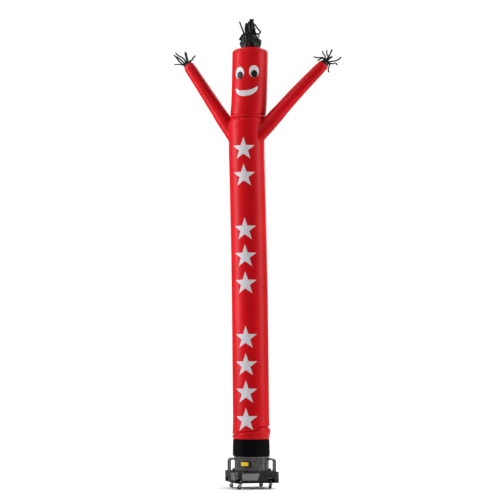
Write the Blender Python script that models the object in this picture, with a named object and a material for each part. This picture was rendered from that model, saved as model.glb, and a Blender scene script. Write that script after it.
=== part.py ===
# Inflatable air dancer standing on its fan blower. A sewn nylon tube with a face, two arms and
# streamer tassels is drawn over the drum of a blower that rolls on four swivel casters.
# Metres, +Z up, floor at z = 0. The dancer faces -Y and its arms spread in the XZ plane.

import math

import bmesh
import bpy
from mathutils import Matrix, Vector

# Driving dimensions
TUBE_RADIUS = 0.2286
CLOTH = 0.002
GAP = 0.0004
# How far a cutting shape runs past the surface that it opens
CUT_MARGIN = 0.010
SEWN_GAP = 0.0012
ARM_GAP = 0.0034
TUBE_SIDES = 36
ARM_SIDES = 24
ARM_HOLE_RADIUS = 0.070
ARM_HOLE_REACH = 0.105
FOOT_X = -0.0680
BASE_TURN = math.radians(25.0)

# Heights of the main seams
SLEEVE_BOTTOM = 0.403
SLEEVE_TOP = 0.6146
NECK_SEAM = 4.655
CROWN_SEAM = 5.527
CROWN_TOP = 5.590
HAIR_RIM = 5.778

# Blower
DRUM_RADIUS = 0.219
DRUM_WALL = 0.003
DRUM_TOP = 0.500
HOUSING_SIDE = 0.549
HOUSING_BOTTOM = 0.077
HOUSING_TOP = 0.215
HOUSING_WALL = 0.003
DECK_BORE_RADIUS = 0.205
FRAME_WIDTH = 0.131
FRAME_THICKNESS = 0.004
RAIL_RADIUS = 0.0125
RAIL_HEIGHT = 0.363
RAIL_BEND = 0.030
RAIL_STANDOFF = 0.0008
BEND_STEPS = 6
CASTER_REACH = 0.1945
WHEEL_RADIUS = 0.027
WHEEL_WIDTH = 0.020
WHEEL_SIDES = 16
AXLE_RADIUS = 0.004
CASTER_TRAIL = 0.018
AXLE_HEIGHT = WHEEL_RADIUS * math.cos(math.pi / WHEEL_SIDES)

# Sideways lean of the tube's centre line from its foot: height, offset
LEAN_ROWS = (
    (0.40, -0.006),
    (1.05, -0.010),
    (1.86, -0.019),
    (2.46, -0.026),
    (3.28, -0.040),
    (3.89, -0.054),
    (4.31, -0.064),
    (4.52, -0.064),
    (4.70, -0.048),
    (4.90, -0.034),
    (5.13, -0.027),
    (5.60, -0.019),
)

# Path of the slanting fold above the sleeve: azimuth in degrees, rise over its mean height
FOLD_ROWS = (
    (-180.0, -0.018),
    (-81.0, -0.047),
    (-10.0, -0.008),
    (22.0, 0.004),
    (42.0, 0.050),
    (66.0, 0.052),
    (100.0, 0.045),
    (180.0, -0.018),
)

# Soft bulges of the inflated wall: azimuth, height, half angle, half height, growth
BULGE_ROWS = (
    (-86.0, 4.585, 38.0, 0.075, 0.014),
    (80.0, 4.600, 38.0, 0.065, 0.007),
    (-88.0, 4.675, 34.0, 0.016, 0.010),
    (76.0, 4.675, 42.0, 0.016, 0.010),
    (99.0, 0.700, 36.0, 0.030, 0.010),
    (-81.0, 0.668, 34.0, 0.026, 0.007),
    (10.0, 4.700, 50.0, 0.030, -0.004),
    (-40.0, 0.650, 22.0, 0.016, -0.004),
    (18.0, 0.655, 16.0, 0.018, -0.005),
)

# Sections of the body's wall: height, share of the fold's rise that it follows, growth
BODY_ROWS = (
    (SLEEVE_TOP + GAP, 0.0, -0.003),
    (0.648, 0.3, 0.003),
    (0.685, 0.8, 0.004),
    (0.706, 1.0, 0.001),
    (0.718, 1.0, -0.011),
    (0.730, 1.0, -0.001),
    (0.752, 0.9, 0.004),
    (0.800, 0.55, 0.002),
    (0.950, 0.0, 0.0),
    (1.860, 0.0, 0.0),
    (3.280, 0.0, 0.0),
    (4.310, 0.0, 0.0),
    (4.440, 0.0, 0.0),
    (4.510, 0.0, 0.0),
    (4.560, 0.0, 0.0),
    (4.600, 0.0, 0.001),
    (4.632, 0.0, 0.003),
    (4.648, 0.0, 0.001),
    (NECK_SEAM - GAP, 0.0, -0.004),
)

FIRST_STRAIGHT_ROW = BODY_ROWS[9]

# Sections of the head's wall, from the neck's two creases to the crown's seam
HEAD_ROWS = (
    (NECK_SEAM, 0.0, -0.004),
    (4.664, 0.0, -0.004),
    (4.674, 0.0, -0.013),
    (4.686, 0.0, -0.002),
    (4.700, 0.0, -0.001),
    (4.712, 0.0, -0.006),
    (4.726, 0.0, 0.0),
    (4.900, 0.0, 0.0),
    (5.130, 0.0, 0.0),
    (5.470, 0.0, 0.0),
    (CROWN_SEAM - GAP, 0.0, -0.001),
)

# Domed crown: height, radius
CROWN_ROWS = (
    (CROWN_SEAM, 0.2276),
    (5.542, 0.2254),
    (5.555, 0.2165),
    (5.567, 0.1990),
    (5.577, 0.1740),
    (5.585, 0.1460),
    (CROWN_TOP, 0.1190),
)

# Cloth sleeve over the drum: height, radius
SLEEVE_ROWS = (
    (SLEEVE_BOTTOM, 0.2292),
    (0.440, 0.2323),
    (0.500, 0.2318),
    (0.592, 0.2288),
    (SLEEVE_TOP, 0.2262),
)

# Arms: root and tip from the foot, how far the root sits forward, and the axis's upward bow
ARMS = {
    "arm_left": {"root": (-0.286, 4.556), "tip": (-0.829, 5.398), "forward": 0.0, "bow": 0.0},
    "arm_right": {"root": (0.208, 4.572), "tip": (0.930, 5.356), "forward": 0.055, "bow": 0.012},
}

# Girth of both arms: share of the length from root to tip, radius
ARM_ROWS = (
    (0.16, 0.0945),
    (0.28, 0.0895),
    (0.42, 0.0862),
    (0.58, 0.0825),
    (0.74, 0.0785),
    (0.88, 0.0760),
    (0.955, 0.0720),
    (1.0, 0.0620),
)

# Gathered cuffs at the arms' ends, and the narrow bands at their rims that the streamers are
# sewn into: distance beyond the tip, radius
CUFFS = {
    "left": {"cuff": ((0.0, 0.0600), (0.012, 0.0545), (0.020, 0.0505)),
             "band": ((0.020 + GAP, 0.0503), (0.032, 0.0430))},
    "right": {"cuff": ((0.0, 0.0600), (0.018, 0.0520), (0.034, 0.0446)),
              "band": ((0.034 + GAP, 0.0444), (0.048, 0.0380))},
}
CUFF_SIDES = 12
STREAMER = 0.0016
STREAMER_ROOT = 0.008

# Streamers: side of the band that each runs out of, width and depth of its end, then points
# (right, up) from the arm's tip in the XZ plane
LEFT_STREAMERS = (
    {"side": 5, "width": 0.019, "depth": -0.012,
     "path": ((-0.081, 0.018), (-0.123, 0.058), (-0.151, 0.100), (-0.188, 0.140))},
    {"side": 4, "width": 0.018, "depth": -0.042,
     "path": ((-0.062, 0.040), (-0.096, 0.072), (-0.152, 0.112))},
    {"side": 3, "width": 0.018, "depth": -0.050,
     "path": ((-0.052, 0.078), (-0.122, 0.122), (-0.159, 0.158))},
    {"side": 8, "width": 0.032, "depth": 0.040,
     "path": ((-0.020, 0.060), (-0.037, 0.136), (-0.049, 0.182))},
    {"side": 0, "width": 0.018, "depth": -0.014,
     "path": ((0.048, 0.064), (0.062, 0.088), (0.098, 0.122))},
    {"side": 7, "width": 0.017, "depth": 0.050,
     "path": ((-0.060, 0.004), (-0.115, 0.022), (-0.196, 0.026))},
    {"side": 1, "width": 0.015, "depth": -0.036, "path": ((0.033, 0.054),)},
)
RIGHT_STREAMERS = (
    {"side": 11, "width": 0.018, "depth": 0.030,
     "path": ((-0.018, 0.088), (-0.078, 0.091), (-0.134, 0.105))},
    {"side": 1, "width": 0.017, "depth": -0.034,
     "path": ((0.021, 0.098), (-0.003, 0.128), (-0.011, 0.170))},
    {"side": 10, "width": 0.017, "depth": 0.034,
     "path": ((0.050, 0.100), (0.032, 0.142), (0.037, 0.187))},
    {"side": 2, "width": 0.021, "depth": -0.040,
     "path": ((0.066, 0.086), (0.090, 0.129), (0.111, 0.179))},
    {"side": 3, "width": 0.022, "depth": -0.052, "path": ((0.082, 0.069), (0.119, 0.084))},
    {"side": 4, "width": 0.018, "depth": -0.030,
     "path": ((0.090, 0.028), (0.140, 0.032), (0.189, 0.048), (0.225, 0.080))},
    {"side": 8, "width": 0.017, "depth": 0.024,
     "path": ((0.102, 0.008), (0.146, 0.014), (0.172, -0.014))},
    {"side": 6, "width": 0.019, "depth": 0.008,
     "path": ((0.072, -0.012), (0.055, -0.064), (0.062, -0.107))},
    {"side": 0, "width": 0.018, "depth": -0.010,
     "path": ((0.006, 0.076), (-0.040, 0.070), (-0.080, 0.044))},
)

# Gathered collar of the hair, and the narrow band at its rim that the streamers are sewn into:
# height, radius, depth of the pleats
HAIR_OFFSET_X = 0.006
HAIR_ROWS = (
    (CROWN_TOP + GAP, 0.1170, 0.001),
    (5.622, 0.1250, 0.006),
    (5.655, 0.1310, 0.009),
    (5.692, 0.1270, 0.011),
    (5.724, 0.1100, 0.010),
    (5.750, 0.0850, 0.006),
    (5.764, 0.0732, 0.003),
)
HAIR_BAND = ((5.764 + GAP, 0.0729, 0.003), (HAIR_RIM, 0.0620, 0.0))
HAIR_SIDES = 16
HAIR_PLEATS = 4
PLEAT_TURN = 40.0

# Streamers of the hair: side of the band, width and depth of the end, points (right, up) from
# the middle of its rim
HAIR_STREAMERS = (
    {"side": 6, "width": 0.048, "depth": -0.042, "path": ((-0.038, 0.070), (-0.041, 0.138))},
    {"side": 8, "width": 0.058, "depth": -0.064, "path": ((0.014, 0.090), (0.021, 0.182))},
    {"side": 3, "width": 0.015, "depth": 0.006,
     "path": ((-0.086, 0.010), (-0.112, 0.066), (-0.150, 0.170))},
    {"side": 2, "width": 0.014, "depth": 0.028, "path": ((-0.076, 0.034), (-0.085, 0.098))},
    {"side": 14, "width": 0.050, "depth": 0.052, "path": ((0.024, 0.050), (0.030, 0.090))},
    {"side": 0, "width": 0.050, "depth": 0.068, "path": ((-0.030, 0.052), (-0.032, 0.112))},
    {"side": 10, "width": 0.044, "depth": -0.030, "path": ((0.036, 0.046), (0.034, 0.106))},
    {"side": 12, "width": 0.017, "depth": 0.018,
     "path": ((0.100, 0.000), (0.121, 0.027), (0.088, 0.066), (0.049, 0.130))},
    {"side": 11, "width": 0.016, "depth": -0.095,
     "path": ((0.084, -0.008), (0.114, -0.034), (0.116, -0.056), (0.094, -0.062))},
    {"side": 4, "width": 0.022, "depth": -0.050,
     "path": ((-0.092, 0.000), (-0.136, -0.046), (-0.154, -0.106))},
)

# Sewn face: azimuths in degrees, heights, half widths along the wall. The face tips a little
# to one side, and each pupil sits beside the middle of its eye.
EYES = {
    "left": {"azimuth": -25.1, "height": 5.238, "pupil_shift": 0.007},
    "right": {"azimuth": 23.2, "height": 5.251, "pupil_shift": 0.003},
}
EYE_HALF_WIDTH = 0.0640
EYE_HALF_HEIGHT = 0.0790
PUPIL_DROP = 0.031
PUPIL_HALF_WIDTH = 0.0435
PUPIL_HALF_HEIGHT = 0.0475
MOUTH = {"azimuth": -1.4, "height": 4.973, "half_width": 0.1545, "half_thickness": 0.0386,
         "rise": 0.069, "tilt": 0.011}
MOUTH_CURVE = 2.4
MOUTH_END_BLUNTNESS = 0.25
PATCH = 0.001
PATCH_COLUMNS = 14

# Windows and arches of each housing side, as seen from outside. Spans run along the side from
# its middle. Two sides are mirrored, so that the windows meet at two opposite corners.
WINDOW = {"low": -0.200, "high_bottom": 0.003, "high_top": 0.034, "bottom": 0.112, "top": 0.200}
ARCHES = ({"centre": -0.238, "radius": 0.031, "spring": 0.102},
          {"centre": 0.178, "radius": 0.041, "spring": 0.106})
ARCH_SILL = 0.090
ARCH_STEPS = 8
GUARD_MARGIN = 0.006
GUARD_THICKNESS = 0.0015

# Drum: height, swell of the rolled bead below the sleeve
DRUM_ROWS = (
    (HOUSING_TOP + GAP, 0.0),
    (0.377, 0.0),
    (0.380, 0.0045),
    (0.397, 0.0045),
    (0.401, 0.0),
    (DRUM_TOP, 0.0),
)
BRACKET = {"width": 0.028, "foot": 0.028, "height": 0.032, "chamfer": 0.007}
BRACKET_AZIMUTHS = {"bracket_left": -90.0, "bracket_right": 90.0}
RATING_PLATE = {"azimuth": -13.7, "half_width": 0.088, "bottom": 0.264, "top": 0.350,
                "gap": 0.0007, "thickness": 0.0012, "columns": 10}

# Side rails: place of each leg on the deck, in the housing's own directions
RAIL_LEGS = {
    "rail_left_front": (-0.259, 0.085),
    "rail_left_back": (-0.259, 0.170),
    "rail_right_front": (0.259, -0.170),
    "rail_right_back": (0.259, -0.085),
}

# Casters: place in the housing's directions, and the azimuth to which each wheel trails
CASTERS = {
    "front_left": {"place": (-1, -1), "trail": -160.0},
    "front_right": {"place": (1, -1), "trail": 140.0},
    "back_left": {"place": (-1, 1), "trail": 176.0},
    "back_right": {"place": (1, 1), "trail": 172.0},
}

# Nut above each caster: height over the frame, radius
NUT_ROWS = ((0.0, 0.0125), (0.012, 0.0125), (0.012, 0.0065), (0.022, 0.0050))
NUT_SIDES = 12

# Pressed fork: the top plate, the legs beside the wheel, and the round eye at the axle
FORK_TOP = HOUSING_BOTTOM - 2.0 * GAP
FORK_CROWN = FORK_TOP - 0.009
FORK_PLATE = 0.003
FORK_LEG = 0.0025
FORK_CLEARANCE = 0.0015
FORK_BACK = 0.018
FORK_EYE_RADIUS = 0.009
FORK_CAP_RADIUS = 0.020
FORK_SKIRT = 0.002
FORK_EDGE = 0.001
PIN_HEAD = 0.0015
PIN_SIDES = 8
# Lengths that the fork is cut from, along and across its wheel
FORK_BLANK = (-0.03, 0.05)
FORK_TRIM = (-0.05, 0.05)

# Half section of a wheel: radius, half width
WHEEL_PROFILE = (
    (0.005, WHEEL_WIDTH / 2.0),
    (0.012, WHEEL_WIDTH / 2.0),
    (0.023, 0.008),
    (WHEEL_RADIUS, 0.005),
)

# Colour, roughness, metallic
LOOKS = {
    "red_nylon": ((0.62, 0.010, 0.016), 0.38, 0.0),
    "black_nylon": ((0.010, 0.010, 0.013), 0.45, 0.0),
    "streamer_nylon": ((0.022, 0.022, 0.024), 0.5, 0.0),
    "white_nylon": ((0.80, 0.80, 0.80), 0.5, 0.0),
    "grey_steel": ((0.075, 0.075, 0.078), 0.45, 0.4),
    "drum_steel": ((0.16, 0.155, 0.15), 0.38, 0.6),
    "rail_steel": ((0.34, 0.34, 0.33), 0.35, 0.7),
    "guard_mesh": ((0.30, 0.30, 0.30), 0.5, 0.5),
    "plate_black": ((0.02, 0.02, 0.028), 0.4, 0.0),
    "caster_zinc": ((0.55, 0.56, 0.57), 0.3, 0.9),
    "wheel_rubber": ((0.012, 0.012, 0.012), 0.6, 0.0),
}


def clear_scene():
    for old in list(bpy.data.objects):
        bpy.data.objects.remove(old, do_unlink=True)


def material(look):
    found = bpy.data.materials.get(look)
    if found:
        return found
    colour, roughness, metallic = LOOKS[look]
    made = bpy.data.materials.new(look)
    made.use_nodes = True
    shader = made.node_tree.nodes["Principled BSDF"]
    shader.inputs["Base Color"].default_value = (*colour, 1.0)
    shader.inputs["Roughness"].default_value = roughness
    shader.inputs["Metallic"].default_value = metallic
    return made


def add_object(name, points, faces, look, smooth=True):
    mesh = bpy.data.meshes.new(name)
    mesh.from_pydata([tuple(p) for p in points], [], faces)
    work = bmesh.new()
    work.from_mesh(mesh)
    bmesh.ops.recalc_face_normals(work, faces=work.faces)
    work.to_mesh(mesh)
    work.free()
    if smooth:
        mesh.shade_smooth()
        mesh.set_sharp_from_angle(angle=math.radians(40.0))
    made = bpy.data.objects.new(name, mesh)
    bpy.context.scene.collection.objects.link(made)
    made.data.materials.append(material(look))
    return made


def cut(target, cutter, operation="DIFFERENCE"):
    cutter.hide_render = True
    cutter.display_type = "WIRE"
    step = target.modifiers.new(operation.title(), "BOOLEAN")
    step.operation = operation
    step.object = cutter


# Interpolation through rows of (place, value)
def eased(rows, place):
    if place <= rows[0][0]:
        return rows[0][1]
    for (low, first), (high, second) in zip(rows, rows[1:]):
        if place <= high:
            share = (place - low) / (high - low)
            ease = share * share * (3.0 - 2.0 * share)
            return first + (second - first) * ease
    return rows[-1][1]


def smooth_curve(points, steps):
    ends = [2 * points[0] - points[1], *points, 2 * points[-1] - points[-2]]
    traced = []
    for a, b, c, d in zip(ends, ends[1:], ends[2:], ends[3:]):
        for step in range(steps):
            t = step / steps
            traced.append(0.5 * (2 * b + (c - a) * t + (2 * a - 5 * b + 4 * c - d) * t ** 2
                                 + (3 * b - a - 3 * c + d) * t ** 3))
    return traced + [points[-1]]


# The inflated wall
def lean(height):
    for (low, first), (high, second) in zip(LEAN_ROWS, LEAN_ROWS[1:]):
        if height <= high:
            share = max(0.0, (height - low) / (high - low))
            return first + (second - first) * share
    return LEAN_ROWS[-1][1]


def bulge(azimuth, height):
    total = 0.0
    for middle, level, half_angle, half_height, growth in BULGE_ROWS:
        turn = (azimuth - middle + 180.0) % 360.0 - 180.0
        total += growth * math.exp(-(turn / half_angle) ** 2 - ((height - level) / half_height) ** 2)
    return total


def wall_point(azimuth, height, radius):
    angle = math.radians(azimuth)
    x = FOOT_X + lean(height) + radius * math.sin(angle)
    return Vector((x, -radius * math.cos(angle), height))


def wall_ring(row, inset):
    height, follow, growth = row
    ring = []
    for side in range(TUBE_SIDES):
        azimuth = -180.0 + 360.0 * side / TUBE_SIDES
        level = height + follow * eased(FOLD_ROWS, azimuth)
        radius = TUBE_RADIUS + growth + bulge(azimuth, level) - inset
        ring.append(wall_point(azimuth, level, radius))
    return ring


def plain_ring(height, radius):
    return [wall_point(-180.0 + 360.0 * side / TUBE_SIDES, height, radius)
            for side in range(TUBE_SIDES)]


# A tube of cloth or metal: its outer rings go up, its inner rings come back down
def shell_faces(ring_count, sides, skipped=()):
    faces = []
    for ring in range(ring_count):
        following = (ring + 1) % ring_count
        for side in range(sides):
            if (ring, side) in skipped:
                continue
            beside = (side + 1) % sides
            faces.append((ring * sides + side, ring * sides + beside,
                          following * sides + beside, following * sides + side))
    return faces


# A solid between its rings, closed by a face at each end
def capped(rings):
    sides = len(rings[0])
    last = (len(rings) - 1) * sides
    points = [point for ring in rings for point in ring]
    faces = shell_faces(len(rings), sides)[:last]
    faces.append(tuple(range(sides)))
    faces.append(tuple(range(last, last + sides)))
    return points, faces


def add_shell(name, outer, inner, look):
    rings = outer + inner[::-1]
    points = [point for ring in rings for point in ring]
    return add_object(name, points, shell_faces(len(rings), len(rings[0])), look)


def add_wall(name, rows):
    outer = [wall_ring(row, 0.0) for row in rows]
    inner = [wall_ring(row, CLOTH) for row in rows]
    return add_shell(name, outer, inner, "red_nylon")


def add_sleeve():
    outer = [plain_ring(height, radius) for height, radius in SLEEVE_ROWS]
    inner = [plain_ring(height, radius - CLOTH) for height, radius in SLEEVE_ROWS]
    return add_shell("base_sleeve", outer, inner, "black_nylon")


def add_crown():
    outer = [plain_ring(height, radius) for height, radius in CROWN_ROWS]
    inner = [plain_ring(CROWN_SEAM, CROWN_ROWS[0][1] - CLOTH)]
    inner += [plain_ring(height - CLOTH, radius - CLOTH) for height, radius in CROWN_ROWS[1:-1]]
    inner.append(plain_ring(CROWN_TOP - CLOTH, CROWN_ROWS[-1][1]))
    return add_shell("crown", outer, inner, "red_nylon")


# Arms
def arm_axis(arm):
    root = Vector((FOOT_X + arm["root"][0], -arm["forward"], arm["root"][1]))
    tip = Vector((FOOT_X + arm["tip"][0], 0.0, arm["tip"][1]))
    along = (tip - root).normalized()
    across = along.cross(Vector((0.0, 1.0, 0.0))).normalized()
    if across.z < 0.0:
        across = -across
    return root, tip, along, across


def arm_centre(arm, share):
    root, tip, _, across = arm_axis(arm)
    return root.lerp(tip, share) + across * arm["bow"] * math.sin(math.pi * share)


def arm_spoke(arm, side, sides):
    _, _, along, across = arm_axis(arm)
    front = along.cross(across)
    if front.y > 0.0:
        front = -front
    angle = 2.0 * math.pi * side / sides
    return across * math.cos(angle) + front * math.sin(angle)


def arm_ring(arm, share, radius):
    centre = arm_centre(arm, share)
    return [centre + radius * arm_spoke(arm, side, ARM_SIDES) for side in range(ARM_SIDES)]


def wall_radius(azimuth, height):
    rows = BODY_ROWS[BODY_ROWS.index(FIRST_STRAIGHT_ROW):] + HEAD_ROWS
    for (low, _, first), (high, _, second) in zip(rows, rows[1:]):
        if height <= high:
            share = (height - low) / (high - low)
            return TUBE_RADIUS + ((first + bulge(azimuth, low)) * (1.0 - share)
                                  + (second + bulge(azimuth, high)) * share)
    return TUBE_RADIUS


def gap_to_wall(point):
    x = point.x - FOOT_X - lean(point.z)
    azimuth = math.degrees(math.atan2(x, -point.y))
    return math.hypot(x, point.y) - wall_radius(azimuth, point.z)


def saddle_ring(arm, ring):
    _, _, along, _ = arm_axis(arm)
    saddle = []
    for start in ring:
        near = 0.0
        far = 0.45
        for _ in range(40):
            middle = (near + far) / 2.0
            if gap_to_wall(start - along * middle) > ARM_GAP:
                near = middle
            else:
                far = middle
        saddle.append(start - along * near)
    return saddle


def add_arm(name):
    arm = ARMS[name]
    outer = [arm_ring(arm, share, radius) for share, radius in ARM_ROWS]
    inner = [arm_ring(arm, share, radius - CLOTH) for share, radius in ARM_ROWS]
    outer.insert(0, saddle_ring(arm, outer[0]))
    inner.insert(0, saddle_ring(arm, inner[0]))
    return add_shell(name, outer, inner, "red_nylon")


def arm_hole_cutter(name):
    arm = ARMS[name]
    root, _, along, _ = arm_axis(arm)
    rings = []
    for centre in (root - along * ARM_HOLE_REACH, root + along * ARM_HOLE_REACH):
        rings.append([centre + ARM_HOLE_RADIUS * arm_spoke(arm, side, CUFF_SIDES)
                      for side in range(CUFF_SIDES)])
    return add_object("hole_of_" + name, *capped(rings), "red_nylon")


# A streamer: a flat strip of cloth along a curve, with its flat side to the front
def strip(centres, width):
    last = len(centres) - 1
    rings = []
    for step, centre in enumerate(centres):
        ahead = (centres[min(step + 1, last)] - centres[max(step - 1, 0)]).normalized()
        across = ahead.cross(Vector((0.0, 1.0, 0.0))).normalized() * width / 2.0
        normal = ahead.cross(across).normalized() * STREAMER / 2.0
        rings.append([centre - across - normal, centre + across - normal,
                      centre + across + normal, centre - across + normal])
    return capped(rings)


# A tassel: a narrow open band of cloth with streamers that are fused into it
def add_tassel(name, outer, inner, streamers, origin):
    tassel = add_shell(name, outer, inner, "streamer_nylon")
    for number, streamer in enumerate(streamers):
        side = streamer["side"]
        beside = (side + 1) % len(outer[-1])
        rim = (outer[-1][side] + outer[-1][beside] + inner[-1][side] + inner[-1][beside]) / 4.0
        stations = []
        path = streamer["path"]
        for order, (right, up) in enumerate(path, start=1):
            depth = rim.y + (streamer["depth"] - rim.y) * order / len(path)
            stations.append(origin + Vector((right, depth, up)))
        outward = (stations[0] - rim).normalized()
        stations.insert(0, rim - outward * STREAMER_ROOT)
        ribbon = strip(smooth_curve(stations, 2), streamer["width"])
        cut(tassel, add_object(f"{name}_streamer_{number}", *ribbon, "streamer_nylon"), "UNION")


def cuff_rings(arm, rows, inset):
    _, tip, along, _ = arm_axis(arm)
    rings = []
    for distance, radius in rows:
        centre = tip + along * (distance + GAP)
        rings.append([centre + (radius - inset) * arm_spoke(arm, side, CUFF_SIDES)
                      for side in range(CUFF_SIDES)])
    return rings


def add_hand(side, streamers):
    arm = ARMS["arm_" + side]
    rows = CUFFS[side]
    add_shell("cuff_" + side, cuff_rings(arm, rows["cuff"], 0.0),
              cuff_rings(arm, rows["cuff"], CLOTH), "streamer_nylon")
    _, tip, _, _ = arm_axis(arm)
    add_tassel("hand_" + side, cuff_rings(arm, rows["band"], 0.0),
               cuff_rings(arm, rows["band"], CLOTH), streamers, tip)


def hair_rings(rows, inset):
    rings = []
    for height, radius, pleat in rows:
        ring = []
        for side in range(HAIR_SIDES):
            azimuth = -180.0 + 360.0 * (side - 0.5) / HAIR_SIDES
            fold = pleat * math.cos(math.radians(azimuth) * HAIR_PLEATS + height * PLEAT_TURN)
            point = wall_point(azimuth, height, radius + fold - inset)
            ring.append(point + Vector((HAIR_OFFSET_X, 0.0, 0.0)))
        rings.append(ring)
    return rings


def add_hair():
    add_shell("hair_collar", hair_rings(HAIR_ROWS, 0.0), hair_rings(HAIR_ROWS, CLOTH),
              "streamer_nylon")
    origin = Vector((FOOT_X + lean(HAIR_RIM) + HAIR_OFFSET_X, 0.0, HAIR_RIM))
    add_tassel("hair", hair_rings(HAIR_BAND, 0.0), hair_rings(HAIR_BAND, CLOTH),
               HAIR_STREAMERS, origin)


# A thin piece laid on a round wall, cut into upright columns: place along the wall, low, high
def add_patch(name, columns, wall_point_at, lift, thickness, look):
    points = []
    faces = []
    for place, low, high in columns:
        for level in (low, high):
            for radial in (lift, lift + thickness):
                points.append(wall_point_at(place, level, radial))
    for column in range(len(columns) - 1):
        a = 4 * column
        b = a + 4
        faces.append((a, a + 2, b + 2, b))
        faces.append((a + 1, b + 1, b + 3, a + 3))
        faces.append((a, b, b + 1, a + 1))
        faces.append((a + 2, a + 3, b + 3, b + 2))
    last = 4 * (len(columns) - 1)
    faces.append((0, 1, 3, 2))
    faces.append((last, last + 2, last + 3, last + 1))
    return add_object(name, points, faces, look)


def on_head(middle):
    def place_on_wall(place, level, radial):
        azimuth = middle + math.degrees(place / TUBE_RADIUS)
        return wall_point(azimuth, level, TUBE_RADIUS + radial)
    return place_on_wall


def oval_columns(middle, height, half_width, half_height):
    columns = []
    for column in range(PATCH_COLUMNS + 1):
        angle = math.pi * (0.04 + 0.92 * column / PATCH_COLUMNS)
        half = half_height * math.sin(angle)
        columns.append((middle - half_width * math.cos(angle), height - half, height + half))
    return columns


def mouth_columns():
    columns = []
    for column in range(2 * PATCH_COLUMNS + 1):
        share = math.sin(math.pi * 0.485 * (column / PATCH_COLUMNS - 1.0))
        middle = MOUTH["height"] + MOUTH["rise"] * abs(share) ** MOUTH_CURVE + MOUTH["tilt"] * share
        half = MOUTH["half_thickness"] * (1.0 - share * share) ** MOUTH_END_BLUNTNESS
        columns.append((MOUTH["half_width"] * share, middle - half, middle + half))
    return columns


def add_face():
    for side, eye in EYES.items():
        wall = on_head(eye["azimuth"])
        white = oval_columns(0.0, eye["height"], EYE_HALF_WIDTH, EYE_HALF_HEIGHT)
        add_patch("eye_" + side, white, wall, SEWN_GAP, PATCH, "white_nylon")
        pupil = oval_columns(eye["pupil_shift"], eye["height"] - PUPIL_DROP,
                             PUPIL_HALF_WIDTH, PUPIL_HALF_HEIGHT)
        add_patch("pupil_" + side, pupil, wall, 2.0 * SEWN_GAP + PATCH, PATCH, "black_nylon")
    add_patch("mouth", mouth_columns(), on_head(MOUTH["azimuth"]), SEWN_GAP, PATCH, "white_nylon")


# Blower. Its own directions are turned by BASE_TURN about the tube's foot.
def base_matrix():
    return Matrix.Translation((FOOT_X, 0.0, 0.0)) @ Matrix.Rotation(BASE_TURN, 4, "Z")


def turned_rings(rows, sides):
    rings = []
    for height, radius in rows:
        rings.append([Vector((radius * math.cos(2.0 * math.pi * side / sides),
                              radius * math.sin(2.0 * math.pi * side / sides), height))
                      for side in range(sides)])
    return rings


def add_drum():
    outer = turned_rings([(height, DRUM_RADIUS + bead) for height, bead in DRUM_ROWS], TUBE_SIDES)
    inner = turned_rings([(height, DRUM_RADIUS + bead - DRUM_WALL) for height, bead in DRUM_ROWS],
                         TUBE_SIDES)
    drum = add_shell("fan_drum", outer, inner, "drum_steel")
    drum.matrix_world = base_matrix()


def disc(low, high, radius, sides):
    return capped(turned_rings([(low, radius), (high, radius)], sides))


def box_mesh(low, high):
    (x0, y0, z0), (x1, y1, z1) = low, high
    points = [(x0, y0, z0), (x1, y0, z0), (x1, y1, z0), (x0, y1, z0),
              (x0, y0, z1), (x1, y0, z1), (x1, y1, z1), (x0, y1, z1)]
    faces = [(0, 3, 2, 1), (4, 5, 6, 7), (0, 1, 5, 4), (1, 2, 6, 5), (2, 3, 7, 6), (3, 0, 4, 7)]
    return [Vector(p) for p in points], faces


# An outline in the plane of the front side (across, up) between two depths along +Y
def prism(outline, near, far, turn):
    spin = Matrix.Rotation(turn, 3, "Z")
    return capped([[spin @ Vector((across, depth, up)) for across, up in outline]
                   for depth in (near, far)])


def merged(meshes):
    points = []
    faces = []
    for new_points, new_faces in meshes:
        start = len(points)
        points.extend(new_points)
        faces.extend(tuple(start + index for index in face) for face in new_faces)
    return points, faces


def window_outline(mirrored, margin=0.0):
    sign = -1.0 if mirrored else 1.0
    outline = [(WINDOW["low"] - margin, WINDOW["bottom"] - margin),
               (WINDOW["high_bottom"] + margin, WINDOW["bottom"] - margin),
               (WINDOW["high_top"] + margin, WINDOW["top"] + margin),
               (WINDOW["low"] - margin, WINDOW["top"] + margin)]
    return [(sign * across, up) for across, up in outline]


def arch_outline(arch, mirrored):
    centre = -arch["centre"] if mirrored else arch["centre"]
    radius = arch["radius"]
    outline = [(centre + radius * math.cos(math.pi * step / ARCH_STEPS),
                arch["spring"] + radius * math.sin(math.pi * step / ARCH_STEPS))
               for step in range(ARCH_STEPS + 1)]
    return [(centre + radius, ARCH_SILL)] + outline + [(centre - radius, ARCH_SILL)]


HOUSING_SIDES = {"front": (0, False), "right": (1, True), "back": (2, False), "left": (3, True)}


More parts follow.
